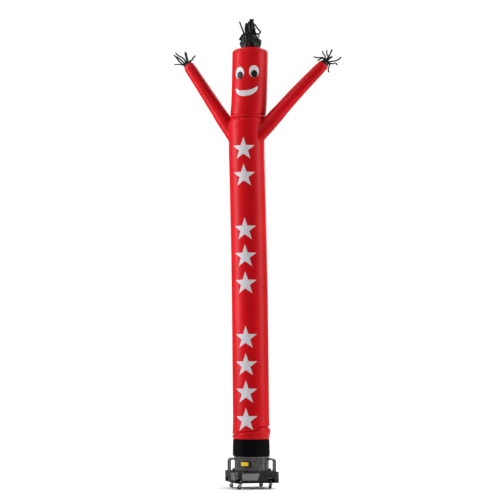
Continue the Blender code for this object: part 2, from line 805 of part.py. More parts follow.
def add_housing():
    half = HOUSING_SIDE / 2.0
    room = half - HOUSING_WALL
    points, faces = box_mesh((-half, -half, HOUSING_BOTTOM), (half, half, HOUSING_TOP))
    housing = add_object("blower_housing", points, faces, "grey_steel", smooth=False)
    housing.matrix_world = base_matrix()
    points, faces = box_mesh((-room, -room, HOUSING_BOTTOM - CUT_MARGIN),
                             (room, room, HOUSING_TOP - HOUSING_WALL))
    cavity = add_object("housing_cavity", points, faces, "grey_steel", smooth=False)
    holes = []
    for quarter, mirrored in HOUSING_SIDES.values():
        turn = quarter * math.pi / 2.0
        holes.append(prism(window_outline(mirrored), -half - CUT_MARGIN, -half + CUT_MARGIN, turn))
        for arch in ARCHES:
            holes.append(prism(arch_outline(arch, mirrored), -half - CUT_MARGIN, -half + CUT_MARGIN,
                               turn))
    side_holes = add_object("housing_side_holes", *merged(holes), "grey_steel", smooth=False)
    bore = add_object("deck_bore", *disc(HOUSING_TOP - CUT_MARGIN, HOUSING_TOP + CUT_MARGIN,
                                         DECK_BORE_RADIUS, TUBE_SIDES), "grey_steel")
    for cutter in (cavity, side_holes, bore):
        cutter.matrix_world = base_matrix()
        cut(housing, cutter)


def add_guards():
    depth = -HOUSING_SIDE / 2.0 + HOUSING_WALL + GAP
    for side, (quarter, mirrored) in HOUSING_SIDES.items():
        outline = window_outline(mirrored, GUARD_MARGIN)
        points, faces = prism(outline, depth, depth + GUARD_THICKNESS, quarter * math.pi / 2.0)
        guard = add_object("guard_" + side, points, faces, "guard_mesh", smooth=False)
        guard.matrix_world = base_matrix()


def add_caster_frame():
    outside = HOUSING_SIDE / 2.0 - HOUSING_WALL - GAP
    inside = outside - FRAME_WIDTH
    low = HOUSING_BOTTOM + GAP
    rings = []
    for half, height in ((outside, low), (outside, low + FRAME_THICKNESS),
                         (inside, low + FRAME_THICKNESS), (inside, low)):
        rings.append([Vector((x * half, y * half, height))
                      for x, y in ((-1, -1), (1, -1), (1, 1), (-1, 1))])
    points = [point for ring in rings for point in ring]
    frame = add_object("caster_frame", points, shell_faces(4, 4), "grey_steel", smooth=False)
    frame.matrix_world = base_matrix()


def add_rail(name, place):
    reach = math.hypot(*place)
    outward = Vector((place[0] / reach, place[1] / reach, 0.0))
    corner = Vector((*place, RAIL_HEIGHT))
    route = [Vector((*place, HOUSING_TOP + GAP))]
    for step in range(BEND_STEPS + 1):
        angle = math.pi / 2.0 * step / BEND_STEPS
        shift = RAIL_BEND * (1.0 - math.cos(angle))
        rise = RAIL_BEND * (math.sin(angle) - 1.0)
        route.append(corner - outward * shift + Vector((0.0, 0.0, rise)))
    route.append(outward * (DRUM_RADIUS + RAIL_STANDOFF) + Vector((0.0, 0.0, RAIL_HEIGHT)))
    curve = bpy.data.curves.new(name, "CURVE")
    curve.dimensions = "3D"
    curve.bevel_depth = RAIL_RADIUS
    curve.bevel_resolution = 3
    curve.use_fill_caps = True
    spline = curve.splines.new("POLY")
    spline.points.add(len(route) - 1)
    for knot, point in zip(spline.points, route):
        knot.co = (*point, 1.0)
    spline.use_smooth = True
    curve.materials.append(material("rail_steel"))
    rail = bpy.data.objects.new(name, curve)
    bpy.context.scene.collection.objects.link(rail)
    rail.matrix_world = base_matrix()


def add_drum_bracket(name, azimuth):
    foot = HOUSING_TOP + GAP
    near = DRUM_RADIUS + GAP
    far = near + BRACKET["foot"]
    top = foot + BRACKET["height"]
    chamfer = BRACKET["chamfer"]
    profile = ((near, foot), (far, foot), (far, top - chamfer), (far - chamfer, top), (near, top))
    half = BRACKET["width"] / 2.0
    rings = [[Vector((side, -radial, height)) for radial, height in profile]
             for side in (-half, half)]
    bracket = add_object(name, *capped(rings), "rail_steel", smooth=False)
    spin = Matrix.Rotation(math.radians(azimuth), 4, "Z")
    bracket.matrix_world = Matrix.Translation((FOOT_X, 0.0, 0.0)) @ spin


def add_rating_plate():
    plate = RATING_PLATE
    count = plate["columns"]
    columns = [(plate["half_width"] * (2.0 * column / count - 1.0), plate["bottom"], plate["top"])
               for column in range(count + 1)]

    def on_drum(place, level, radial):
        angle = math.radians(plate["azimuth"]) + place / DRUM_RADIUS
        radius = DRUM_RADIUS + radial
        return Vector((FOOT_X + radius * math.sin(angle), -radius * math.cos(angle), level))

    add_patch("rating_plate", columns, on_drum, plate["gap"], plate["thickness"], "plate_black")


# Casters. Each has its own frame: the swivel's axis is at x = 0 and the wheel trails along +X.
def caster_matrix(caster):
    x, y = caster["place"]
    centre = base_matrix() @ Vector((x * CASTER_REACH, y * CASTER_REACH, 0.0))
    return Matrix.Translation(centre) @ Matrix.Rotation(math.radians(caster["trail"]), 4, "Z")


def add_caster_nut(name, place):
    low = HOUSING_BOTTOM + 2.0 * GAP + FRAME_THICKNESS
    rings = turned_rings([(low + height, radius) for height, radius in NUT_ROWS], NUT_SIDES)
    nut = add_object(name, *capped(rings), "caster_zinc")
    nut.matrix_world = place


# The fork is a bent plate, cut to its side view, with a cap on top and a pin through its eyes
def add_fork(name, place):
    leg_in = WHEEL_WIDTH / 2.0 + FORK_CLEARANCE
    leg_out = leg_in + FORK_LEG
    bridge = FORK_CROWN - FORK_PLATE
    low = AXLE_HEIGHT - 2.0 * FORK_EYE_RADIUS
    section = ((-leg_out, low), (-leg_in, low), (-leg_in, bridge), (leg_in, bridge),
               (leg_in, low), (leg_out, low), (leg_out, FORK_CROWN), (-leg_out, FORK_CROWN))
    rings = [[Vector((along, across, up)) for across, up in section] for along in FORK_BLANK]
    fork = add_object(name, *capped(rings), "caster_zinc", smooth=False)
    fork.matrix_world = place
    front = CASTER_TRAIL + FORK_EYE_RADIUS
    outline = [(-FORK_BACK, FORK_TOP), (-FORK_BACK, bridge - FORK_SKIRT)]
    for step in range(BEND_STEPS + 1):
        angle = math.pi * (1.0 + step / BEND_STEPS)
        outline.append((CASTER_TRAIL + FORK_EYE_RADIUS * math.cos(angle),
                        AXLE_HEIGHT + FORK_EYE_RADIUS * math.sin(angle)))
    outline += [(front + FORK_EDGE, bridge - FORK_SKIRT), (front + FORK_EDGE, FORK_TOP)]
    rings = [[Vector((along, across, up)) for along, up in outline] for across in FORK_TRIM]
    trim = add_object(name + "_outline", *capped(rings), "caster_zinc", smooth=False)
    cap = add_object(name + "_cap", *disc(FORK_CROWN - FORK_PLATE / 2.0, FORK_TOP,
                                          FORK_CAP_RADIUS, NUT_SIDES), "caster_zinc")
    pin_end = leg_out + PIN_HEAD
    pin_points, pin_faces = disc(-pin_end, pin_end, AXLE_RADIUS, PIN_SIDES)
    lay = Matrix.Translation((CASTER_TRAIL, 0.0, AXLE_HEIGHT)) @ Matrix.Rotation(math.pi / 2.0, 4, "X")
    pin = add_object(name + "_pin", [lay @ point for point in pin_points], pin_faces, "caster_zinc")
    for tool, operation in ((trim, "INTERSECT"), (cap, "UNION"), (pin, "UNION")):
        tool.matrix_world = place
        cut(fork, tool, operation)


def add_wheel(name, place):
    rows = WHEEL_PROFILE + tuple((radius, -half) for radius, half in reversed(WHEEL_PROFILE))
    rings = []
    for radius, side in rows:
        ring = []
        for step in range(WHEEL_SIDES):
            angle = 2.0 * math.pi * (step + 0.5) / WHEEL_SIDES
            ring.append(Vector((CASTER_TRAIL + radius * math.cos(angle), side,
                                AXLE_HEIGHT + radius * math.sin(angle))))
        rings.append(ring)
    points = [point for ring in rings for point in ring]
    wheel = add_object(name, points, shell_faces(len(rings), WHEEL_SIDES), "wheel_rubber")
    wheel.matrix_world = place


def add_casters():
    for corner, caster in CASTERS.items():
        place = caster_matrix(caster)
        add_caster_nut("nut_" + corner, place)
        add_fork("fork_" + corner, place)
        add_wheel("wheel_" + corner, place)


def main():
    clear_scene()
    add_sleeve()
    body = add_wall("body_tube", BODY_ROWS)
    for name in ARMS:
        cut(body, arm_hole_cutter(name))
        add_arm(name)
    add_wall("head_tube", HEAD_ROWS)
    add_crown()
    add_hair()
    add_hand("left", LEFT_STREAMERS)
    add_hand("right", RIGHT_STREAMERS)
    add_face()
    add_drum()
    add_housing()
    add_guards()
    add_caster_frame()
    for name, place in RAIL_LEGS.items():
        add_rail(name, place)
    for name, azimuth in BRACKET_AZIMUTHS.items():
        add_drum_bracket(name, azimuth)
    add_rating_plate()
    add_casters()


main()
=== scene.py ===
import math

import bpy
from mathutils import Matrix, Vector, noise


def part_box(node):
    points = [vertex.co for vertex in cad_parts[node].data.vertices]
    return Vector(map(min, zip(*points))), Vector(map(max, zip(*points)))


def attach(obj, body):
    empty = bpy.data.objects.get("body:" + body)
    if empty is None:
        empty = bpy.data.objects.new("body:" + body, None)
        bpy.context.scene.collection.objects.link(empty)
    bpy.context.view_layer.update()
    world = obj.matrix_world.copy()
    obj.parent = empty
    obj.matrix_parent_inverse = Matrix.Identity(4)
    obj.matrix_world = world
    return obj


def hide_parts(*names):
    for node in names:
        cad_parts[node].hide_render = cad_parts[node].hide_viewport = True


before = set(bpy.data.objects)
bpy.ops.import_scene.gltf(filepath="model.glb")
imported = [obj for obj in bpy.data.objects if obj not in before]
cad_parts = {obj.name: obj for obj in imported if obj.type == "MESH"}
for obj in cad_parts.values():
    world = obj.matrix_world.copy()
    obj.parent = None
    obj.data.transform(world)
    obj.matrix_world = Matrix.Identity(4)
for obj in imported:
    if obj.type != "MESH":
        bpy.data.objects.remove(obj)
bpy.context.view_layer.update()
rootBody = "dancer_on_blower"
fullTurn = 2.0 * math.pi
print("frame loaded")

# The inflated tube that every red piece shares
tube = {
    "footX": -0.0680,
    "radius": 0.2286,
    "sides": 144,
    "cloth": 0.0012,
    "ripple": 0.0011,          # soft dents of the inflated wall
    "rippleHeight": 0.55,
    "pucker": (46, 0.0011, 0.018),    # gathers at a seam: count, size, reach
    "lean": ((0.20, -0.006), (0.40, -0.006), (1.05, -0.010), (1.86, -0.019), (2.46, -0.026),
             (3.28, -0.040), (3.89, -0.054), (4.31, -0.064), (4.52, -0.064), (4.70, -0.048),
             (4.90, -0.034), (5.13, -0.027), (5.60, -0.019), (6.00, -0.014)),
    "bulges": ((-86.0, 4.585, 38.0, 0.075, 0.014), (80.0, 4.600, 38.0, 0.065, 0.007),
               (-88.0, 4.675, 34.0, 0.016, 0.010), (76.0, 4.675, 42.0, 0.016, 0.010),
               (99.0, 0.700, 36.0, 0.030, 0.010), (-81.0, 0.668, 34.0, 0.026, 0.007),
               (10.0, 4.700, 50.0, 0.030, -0.004), (-40.0, 0.650, 22.0, 0.016, -0.004),
               (18.0, 0.655, 16.0, 0.018, -0.005)),
}

# The body: height, share of the fold's rise that it follows, growth of its radius
body = {
    "bottom": 0.6150,
    "top": 4.6546,
    "rows": ((0.615, 0.0, -0.003), (0.632, 0.1, 0.001), (0.655, 0.35, 0.003),
             (0.685, 0.8, 0.005), (0.700, 1.0, 0.003), (0.709, 1.0, -0.004), (0.716, 1.0, -0.013),
             (0.722, 1.0, -0.009), (0.730, 1.0, 0.0), (0.742, 0.95, 0.005), (0.760, 0.85, 0.004),
             (0.800, 0.55, 0.002), (0.850, 0.3, 0.0), (0.950, 0.0, 0.0), (2.000, 0.0, 0.0),
             (4.560, 0.0, 0.0), (4.600, 0.0, 0.001), (4.632, 0.0, 0.003), (4.646, 0.0, 0.001),
             (4.6546, 0.0, -0.004)),
    "fold": ((-180.0, -0.018), (-81.0, -0.047), (-10.0, -0.008), (22.0, 0.004), (42.0, 0.050),
             (66.0, 0.052), (100.0, 0.045), (180.0, -0.018)),
    "heights": ((0.6150, 0.95, 0.0042), (0.95, 4.30, 0.040), (4.30, 4.6546, 0.0065)),
}

# Creases pressed into the red cloth: azimuth and height of both ends, half width, depth
creases = (
    (-78.0, 0.652, -18.0, 0.684, 0.0070, 0.0060),
    (-12.0, 0.662, 52.0, 0.700, 0.0080, 0.0080),
    (16.0, 0.640, 66.0, 0.664, 0.0065, 0.0050),
    (44.0, 0.715, 88.0, 0.730, 0.0065, 0.0050),
    (-80.0, 0.634, -44.0, 0.628, 0.0055, 0.0030),
    (-4.0, 0.735, 34.0, 0.748, 0.0085, 0.0035),
    (-62.0, 4.690, 44.0, 4.712, 0.0065, 0.0030),
    (-30.0, 4.640, 30.0, 4.634, 0.0100, 0.0020),
    (30.0, 4.560, 40.0, 4.470, 0.0120, 0.0022),
    (120.0, 0.665, 200.0, 0.640, 0.0080, 0.0035),
    (-160.0, 0.690, -110.0, 0.655, 0.0080, 0.0035),
)

head = {
    "bottom": 4.6550,
    "top": 5.5266,
    "rows": ((4.655, 0.0, -0.004), (4.664, 0.0, -0.003), (4.671, 0.0, -0.010), (4.675, 0.0, -0.013),
             (4.680, 0.0, -0.007), (4.687, 0.0, -0.001), (4.700, 0.0, 0.0), (4.709, 0.0, -0.006),
             (4.714, 0.0, -0.006), (4.724, 0.0, 0.0), (4.780, 0.0, 0.001), (4.900, 0.0, 0.0),
             (5.470, 0.0, 0.0), (5.510, 0.0, 0.0), (5.5266, 0.0, -0.0012)),
    "heights": ((4.6550, 4.76, 0.0035), (4.76, 5.46, 0.020), (5.46, 5.5266, 0.006)),
}


def eased(rows, place):
    if place <= rows[0][0]:
        return rows[0][1]
    for (low, first), (high, second) in zip(rows, rows[1:]):
        if place <= high:
            share = (place - low) / (high - low)
            return first + (second - first) * share * share * (3.0 - 2.0 * share)
    return rows[-1][1]


def curved(rows, place):
    # a smooth line through rows of (place, value, ...), with no overshoot at sharp turns
    if place <= rows[0][0]:
        return rows[0][1:]
    for index in range(len(rows) - 1):
        low, high = rows[index], rows[index + 1]
        if place > high[0]:
            continue
        before = rows[max(index - 1, 0)]
        after = rows[min(index + 2, len(rows) - 1)]
        span = high[0] - low[0]
        t = (place - low[0]) / span
        found = []
        for k in range(1, len(low)):
            slope = (high[k] - low[k]) / span
            left = (low[k] - before[k]) / (low[0] - before[0]) if index > 0 else slope
            right = (after[k] - high[k]) / (after[0] - high[0]) if index + 2 < len(rows) else slope
            m0 = 0.0 if left * slope <= 0.0 else 2.0 * left * slope / (left + slope)
            m1 = 0.0 if right * slope <= 0.0 else 2.0 * right * slope / (right + slope)
            found.append((2 * t ** 3 - 3 * t ** 2 + 1) * low[k]
                         + (t ** 3 - 2 * t ** 2 + t) * m0 * span
                         + (3 * t ** 2 - 2 * t ** 3) * high[k] + (t ** 3 - t ** 2) * m1 * span)
        return tuple(found)
    return rows[-1][1:]


def traced(points, steps):
    # a smooth curve through points
    ends = [2 * points[0] - points[1], *points, 2 * points[-1] - points[-2]]
    line = []
    for a, b, c, d in zip(ends, ends[1:], ends[2:], ends[3:]):
        for step in range(steps):
            t = step / steps
            line.append(0.5 * (2 * b + (c - a) * t + (2 * a - 5 * b + 4 * c - d) * t ** 2
                               + (3 * b - a - 3 * c + d) * t ** 3))
    return line + [points[-1]]


def spaced(*stretches):
    # heights from one stretch to the next: (from, to, step)
    heights = []
    for low, high, step in stretches:
        count = max(1, round((high - low) / step))
        heights += [low + (high - low) * k / count for k in range(count)]
    return heights + [stretches[-1][1]]


def leanAt(height):
    return curved(tube["lean"], height)[0]


def turned(azimuth, start):
    return (azimuth - start + 180.0) % 360.0 - 180.0


def creaseAt(azimuth, height):
    depth = 0.0
    for az0, z0, az1, z1, width, deep in creases:
        if abs(height - (z0 + z1) / 2.0) > 0.12:
            continue
        across = math.radians(turned(azimuth, az0)) * tube["radius"]
        alongX = math.radians(az1 - az0) * tube["radius"]
        alongZ = z1 - z0
        up = height - z0
        share = (across * alongX + up * alongZ) / (alongX ** 2 + alongZ ** 2)
        held = min(1.0, max(0.0, share))
        fade = math.sin(math.pi * min(0.95, max(0.05, held))) ** 0.6
        away = math.hypot(across - held * alongX, up - held * alongZ)
        depth -= deep * fade * math.exp(-(away / width) ** 2)
        brim = 0.45 * deep * fade * math.exp(-((away - 1.8 * width) / width) ** 2)
        depth += brim * (1.2 if up - share * alongZ > 0.0 else 0.7)
    return depth


def drift(x, y, z):
    # smooth unevenness, about -1 to 1
    return noise.noise(Vector((x, y, z)))


def driftRound(size, angle, third):
    return drift(size * math.sin(angle), size * math.cos(angle), third)


def rippleAt(azimuth, height):
    angle = math.radians(azimuth)
    wide = driftRound(1.3, angle, height * tube["rippleHeight"] * 3.0)
    return tube["ripple"] * (wide + 0.35 * driftRound(3.1, angle, height * 5.0))


def puckerAt(azimuth, away, count, size, reach):
    # little gathers where a seam draws the cloth in
    angle = math.radians(azimuth)
    uneven = driftRound(4.0, angle, count * 0.37)
    gather = size * math.cos(count * angle + 5.0 * uneven) * (0.6 + 0.7 * uneven)
    return gather * math.exp(-away / reach)


def wallPoint(azimuth, height, radius):
    angle = math.radians(azimuth)
    x = tube["footX"] + leanAt(height) + radius * math.sin(angle)
    return Vector((x, -radius * math.cos(angle), height))


def redRadius(azimuth, height, growth):
    total = tube["radius"] + growth
    for middle, level, halfAngle, halfHeight, grow in tube["bulges"]:
        turn = turned(azimuth, middle)
        total += grow * math.exp(-(turn / halfAngle) ** 2 - ((height - level) / halfHeight) ** 2)
    total += creaseAt(azimuth, height) + rippleAt(azimuth, height)
    for seam in (body["bottom"], body["top"], head["top"]):
        away = abs(height - seam)
        if away < 0.09:
            total += puckerAt(azimuth, away, *tube["pucker"])
    return total


def bodyRadius(azimuth, height):
    rise = eased(body["fold"], azimuth)
    level = height
    for _ in range(4):        # the row whose slanting path passes here
        follow, _ = curved(body["rows"], level)
        level = height - follow * rise
    follow, growth = curved(body["rows"], level)
    return redRadius(azimuth, height, growth)


def wallRadius(azimuth, height):
    if height < body["top"]:
        return bodyRadius(azimuth, height)
    return redRadius(azimuth, height, curved(head["rows"], height)[1])


def redWall(azimuth, height, lift=0.0):
    return wallPoint(azimuth, height, wallRadius(azimuth, height) + lift)


class Wire:
    # one socket of a material; sums on wires add Math nodes
    def __init__(self, tree, socket=None):
        self.tree = tree
        self.socket = socket

    def node(self, kind, settings=None, inputs=None, output=0):
        made = self.tree.nodes.new(kind)
        for name, value in (settings or {}).items():
            if name == "stops":
                ramp = made.color_ramp
                while len(ramp.elements) < len(value):
                    ramp.elements.new(0.5)
                for element, (place, shade) in zip(ramp.elements, value):
                    element.position = place
                    element.color = (*shade, 1.0)
            else:
                setattr(made, name, value)
        for name, value in (inputs or {}).items():
            if isinstance(value, Wire):
                self.tree.links.new(value.socket, made.inputs[name])
            else:
                made.inputs[name].default_value = value
        return Wire(self.tree, made.outputs[output])

    def maths(self, operation, first, second=0.0):
        return self.node("ShaderNodeMath", {"operation": operation}, {0: first, 1: second})

    def __add__(self, other):
        return self.maths("ADD", self, other)

    def __radd__(self, other):
        return self.maths("ADD", other, self)

    def __sub__(self, other):
        return self.maths("SUBTRACT", self, other)

    def __rsub__(self, other):
        return self.maths("SUBTRACT", other, self)

    def __mul__(self, other):
        return self.maths("MULTIPLY", self, other)

    def __rmul__(self, other):
        return self.maths("MULTIPLY", other, self)

    def __truediv__(self, other):
        return self.maths("DIVIDE", self, other)

    def __rtruediv__(self, other):
        return self.maths("DIVIDE", other, self)

    def size(self):
        return self.maths("ABSOLUTE", self)

    def most(self, other):
        return self.maths("MAXIMUM", self, other)

    def over(self, edge):
        return self.maths("GREATER_THAN", self, edge)

    def under(self, edge):
        return self.maths("LESS_THAN", self, edge)

    def near(self, place, reach):
        return (self - place).size().under(reach)

    def turn(self, period):
        # 0 to 1 along each period
        return self.maths("FRACT", self / period)

    def clamped(self, low, high):
        return self.node("ShaderNodeMapRange", {"clamp": True},
                         {"Value": self, "From Min": low, "From Max": high})

    def axes(self):
        split = self.tree.nodes.new("ShaderNodeSeparateXYZ")
        self.tree.links.new(self.socket, split.inputs[0])
        return [Wire(self.tree, output) for output in split.outputs]

    def stretched(self, x, y, z):
        return self.node("ShaderNodeVectorMath", {"operation": "MULTIPLY"}, {0: self, 1: (x, y, z)})

    def noise(self, scale, detail=2.0, rough=0.5):
        return self.node("ShaderNodeTexNoise", {}, {"Vector": self, "Scale": scale,
                                                    "Detail": detail, "Roughness": rough})

    def blended(self, first, second):
        # this wire is the share of the second colour
        return self.node("ShaderNodeMix", {"data_type": "RGBA"},
                         {0: self, 6: shade(first), 7: shade(second)}, 2)

    def bump(self, strength, distance):
        return self.node("ShaderNodeBump", {}, {"Height": self, "Strength": strength,
                                                "Distance": distance})


def shade(colour):
    return colour if isinstance(colour, Wire) else (*colour, 1.0)


def newLook(name, gloss):
    # a new material: returns its coordinates in metres and a function that sets its shader
    material = bpy.data.materials.new(name)
    material.use_nodes = True
    tree = material.node_tree
    shader = tree.nodes["Principled BSDF"]
    shader.inputs["Specular IOR Level"].default_value = gloss

    def wire(**sockets):
        for name, value in sockets.items():
            socket = shader.inputs[name.replace("_", " ")]
            if isinstance(value, Wire):
                tree.links.new(value.socket, socket)
            else:
                socket.default_value = value
        return material

    start = Wire(tree)
    place = start.node("ShaderNodeTexCoord", {}, {}, 3)
    cloth = start.node("ShaderNodeUVMap", {"uv_map": "cloth"}, {})
    return place, cloth, wire


# Red coated nylon. Its own coordinates run round and up the cloth in metres.
redLook = {
    "dark": (0.365, 0.0010, 0.0030),
    "light": (0.510, 0.0020, 0.0060),
    "thread": (0.300, 0.0020, 0.0030),
    "gloss": 0.10,
    "rough": 0.335,
    "rib": 0.021,
    "stitchAway": 0.0065,      # from the seam
    "stitchPitch": 0.0042,
    "foldAway": 0.0125,
}
stars = {
    "tip": 0.152,
    "waist": 0.060,            # radius of the five inner corners
    "pitch": 0.3407,
    "low": 0.870,              # height of the lowest star's middle
    "lift": 0.014,
    "count": 11,
    "gaps": (4.0, 8.0),
    "turn": (0.95, 0.0062, 0.0268),    # from this height, by so much a metre, less so much
    "ink": ((0.465, 0.473, 0.485), (0.500, 0.508, 0.520)),
    "inkRough": 0.14,
}
weavePitch = 0.0016


def starMask(u, v):
    # plain five-pointed stars, one above another, turning slowly round the tube
    start, lean, aside = stars["turn"]
    centre = (v - start) * lean - aside
    slot = (v - (stars["low"] - stars["pitch"] / 2.0)) / stars["pitch"]
    number = u.maths("FLOOR", slot)
    right = u - centre
    up = (slot - number - 0.5) * stars["pitch"] + stars["lift"]
    angle = u.maths("ARCTAN2", right, up)
    sector = fullTurn / 5.0
    folded = ((angle + 5.5 * sector).turn(sector) - 0.5).size() * sector
    away = u.maths("SQRT", right * right + up * up)
    tip, waist = stars["tip"], stars["waist"]
    innerX, innerY = waist * math.cos(sector / 2.0), waist * math.sin(sector / 2.0)
    normalX, normalY = innerY, tip - innerX
    size = math.hypot(normalX, normalY)
    edge = (away * u.maths("COSINE", folded) * (normalX / size)
            + away * u.maths("SINE", folded) * (normalY / size))
    kept = number.over(-0.5) * number.under(stars["count"] - 0.5)
    for gap in stars["gaps"]:
        kept = kept * (1.0 - number.near(gap, 0.5))
    return (tip * normalX / size - edge).clamped(-0.0006, 0.0006) * kept


def wovenRelief(u, v):
    return (u.maths("SINE", u * (fullTurn / weavePitch))
            * v.maths("SINE", v * (fullTurn / weavePitch)))


def redNylon(name, seams, printed=False):
    place, cloth, wire = newLook(name, redLook["gloss"])
    u, v, _ = cloth.axes()
    patchy = place.noise(2.6, 3.0)
    streaks = place.stretched(9.0, 9.0, 0.7).noise(1.0, 3.0)
    tone = (patchy * 0.6 + streaks * 0.4).clamped(0.30, 0.70)
    colour = tone.blended(redLook["dark"], redLook["light"])
    ribs = v.maths("SINE", v * (fullTurn / redLook["rib"]) + patchy * 5.0)
    crinkle = place.stretched(1.0, 1.0, 0.55).noise(26.0, 4.0, 0.6)
    rough = redLook["rough"] + crinkle * 0.10 + patchy * 0.05
    height = crinkle * 0.00060 + ribs * 0.00004 + wovenRelief(u, v) * 0.00003
    for seam in seams:
        away = (v - seam).size()
        stitch = (away.near(redLook["stitchAway"], 0.0008)
                  * u.turn(redLook["stitchPitch"]).under(0.62))
        fold = (away - redLook["foldAway"]).size().clamped(0.0, 0.0022)
        colour = (stitch * 0.8).blended(colour, redLook["thread"])
        height = height + fold * 0.0005 - stitch * 0.0004
    if printed:
        star = starMask(u, v)
        ink = place.noise(55.0, 3.0).clamped(0.30, 0.62).blended(*stars["ink"])
        colour = star.blended(colour, ink)
        rough = rough + star * stars["inkRough"]
        height = height + star * 0.00012
    return wire(Base_Color=colour, Roughness=rough, Normal=height.bump(1.0, 1.0))


def plainNylon(name, dark, light, rough, gloss, border=None, crinkleSize=0.0005):
    # nylon of one colour; a border is where a zigzag is sewn along the cut edge
    place, cloth, wire = newLook(name, gloss)
    u, v, _ = cloth.axes()
    colour = place.noise(7.0, 3.0).clamped(0.32, 0.68).blended(dark, light)
    crinkle = place.noise(38.0, 4.0, 0.62)
    height = crinkle * crinkleSize + wovenRelief(u, v) * 0.00005
    if border:
        zigzag = ((u.turn(0.0052) - 0.5).size() - 0.25) * 0.010 + 0.0042
        thread = (v - zigzag).size().under(0.0007)
        colour = thread.blended(colour, border)
        height = height + thread * 0.0003 - v.clamped(0.0085, 0.0) * 0.0005
    return wire(Base_Color=colour, Roughness=rough + crinkle * 0.12, Normal=height.bump(1.0, 1.0))


blackNylon = plainNylon("blackNylon", (0.0014, 0.0014, 0.0019), (0.0032, 0.0032, 0.0040),
                        0.52, 0.02)
streamerNylon = plainNylon("streamerNylon", (0.0018, 0.0018, 0.0021), (0.0065, 0.0065, 0.0072),
                           0.32, 0.16, crinkleSize=0.0011)
whiteNylon = plainNylon("whiteNylon", (0.435, 0.440, 0.446), (0.540, 0.540, 0.544),
                        0.46, 0.30, (0.50, 0.51, 0.52))
pupilNylon = plainNylon("pupilNylon", (0.0032, 0.0032, 0.0036), (0.0080, 0.0080, 0.0088),
                        0.36, 0.22, (0.014, 0.014, 0.015))
bodyNylon = redNylon("bodyNylon", (body["bottom"], body["top"]), True)
headNylon = redNylon("headNylon", (head["bottom"], head["top"]))
crownNylon = redNylon("crownNylon", (0.0,))
armNylon = redNylon("armNylon", (0.0, 0.865))


# The blower: how far its housing is turned, in degrees, and its sizes
blower = {
    "turn": 25.0,
    "drumRadius": 0.219,
    "drumSides": 36,
    "half": 0.2745,
    "deck": 0.215,
}


def housingAxes(x, y):
    # along and across the housing, from coordinates of the whole object
    spin = math.radians(blower["turn"])
    along = (x - tube["footX"]) * math.cos(spin) + y * math.sin(spin)
    across = y * math.cos(spin) - (x - tube["footX"]) * math.sin(spin)
    return along, across


def paintedMetal(name, dark, light, rough, metal, grain, bumpSize, wearAndCornerHighlight, grime=0.0, gloss=0.5,
                 half=0.0):
    # hammered or satin paint, scuffed, with dust low down; half is a box's half size: near its
    # corners the worn colour is laid on as a painted highlight, and below about 0.1 m the paint
    # turns to its dark colour
    place, _, wire = newLook(name, gloss)
    patchy = place.noise(grain, 3.0, 0.6)
    cells = place.node("ShaderNodeTexVoronoi", {"feature": "SMOOTH_F1"},
                       {"Vector": place, "Scale": grain * 4.0, "Smoothness": 0.6})
    scuffs = place.stretched(1.0, 1.0, 2.6).noise(60.0, 5.0, 0.7).clamped(0.62, 0.70)
    x, y, z = place.axes()
    colour = patchy.clamped(0.30, 0.70).blended(dark, light)
    colour = (scuffs * 0.7).blended(colour, wearAndCornerHighlight)
    if half:
        along, across = housingAxes(x, y)
        inset = half - along.maths("MINIMUM", along.size(), across.size())
        # A painted highlight: the worn colour laid up the box's corners above about 0.13 m; below
        # about 0.1 m the paint turns to its dark colour
        cornerPaintedHighlight = inset.clamped(0.034, 0.006) * (patchy * 0.7 + 0.3) * z.clamped(0.120, 0.150)
        colour = cornerPaintedHighlight.blended(z.clamped(0.112, 0.092).blended(colour, dark), wearAndCornerHighlight)
    dust = z.clamped(0.16, 0.04) * patchy * grime
    colour = dust.blended(colour, (0.16, 0.15, 0.14))
    height = cells * bumpSize + patchy * bumpSize * 0.5 - scuffs * 0.0001
    return wire(Base_Color=colour, Roughness=rough + patchy * 0.16 - scuffs * 0.08,
                Metallic=metal + scuffs * 0.2, Normal=height.bump(1.0, 1.0))


# name, dark, light, roughness, metallic, grain, bump, worn colour (on a box with half also its
# painted corner highlight), and then dust, gloss, half
housingPaint = paintedMetal(
    "housingPaint", (0.0045, 0.0045, 0.0048), (0.0270, 0.0270, 0.0278), 0.54, 0.0, 70.0, 0.0016,
    (0.088, 0.088, 0.086), 0.04, 0.10, blower["half"])
drumPaint = paintedMetal(
    "drumPaint", (0.040, 0.0395, 0.0385), (0.110, 0.108, 0.104), 0.27, 0.88, 22.0, 0.0006,
    (0.17, 0.167, 0.162))
railMetal = paintedMetal(
    "railMetal", (0.13, 0.13, 0.128), (0.21, 0.21, 0.207), 0.26, 0.85, 40.0, 0.0003,
    (0.46, 0.46, 0.45))
# Nuts of zinc, painted near white so they stand out as bright glints in the dark arches: a painted
# highlight
boltZincPaintedGlint = paintedMetal(
    "boltZincPaintedGlint", (0.80, 0.82, 0.83), (0.93, 0.94, 0.95), 0.24, 0.10, 90.0, 0.0002,
    (0.60, 0.60, 0.60), 0.05, 0.8)
zincMetal = paintedMetal(
    "zincMetal", (0.50, 0.51, 0.52), (0.72, 0.73, 0.74), 0.24, 0.60, 90.0, 0.0002,
    (0.34, 0.33, 0.31), 0.10)
forkMetal = paintedMetal(
    "forkMetal", (0.20, 0.202, 0.206), (0.38, 0.384, 0.390), 0.22, 0.66, 90.0, 0.0002,
    (0.12, 0.118, 0.115), 0.10)
rubberBlack = paintedMetal(
    "rubberBlack", (0.003, 0.003, 0.003), (0.007, 0.007, 0.007), 0.55, 0.0, 120.0, 0.0003,
    (0.015, 0.015, 0.014), 0.03, 0.2)
hubPlastic = paintedMetal(
    "hubPlastic", (0.018, 0.018, 0.019), (0.036, 0.036, 0.038), 0.42, 0.1, 80.0, 0.0002,
    (0.10, 0.10, 0.10), 0.25)

guard = {
    "pitch": 0.0085,
    "halfGap": 0.34,           # of the gap between two wires, as a share of the pitch
    "space": (0.12, 0.20),     # painted shade: greys of the dark inside seen behind the wires
    "shine": (0.36, 0.54),     # greys of the wires
}


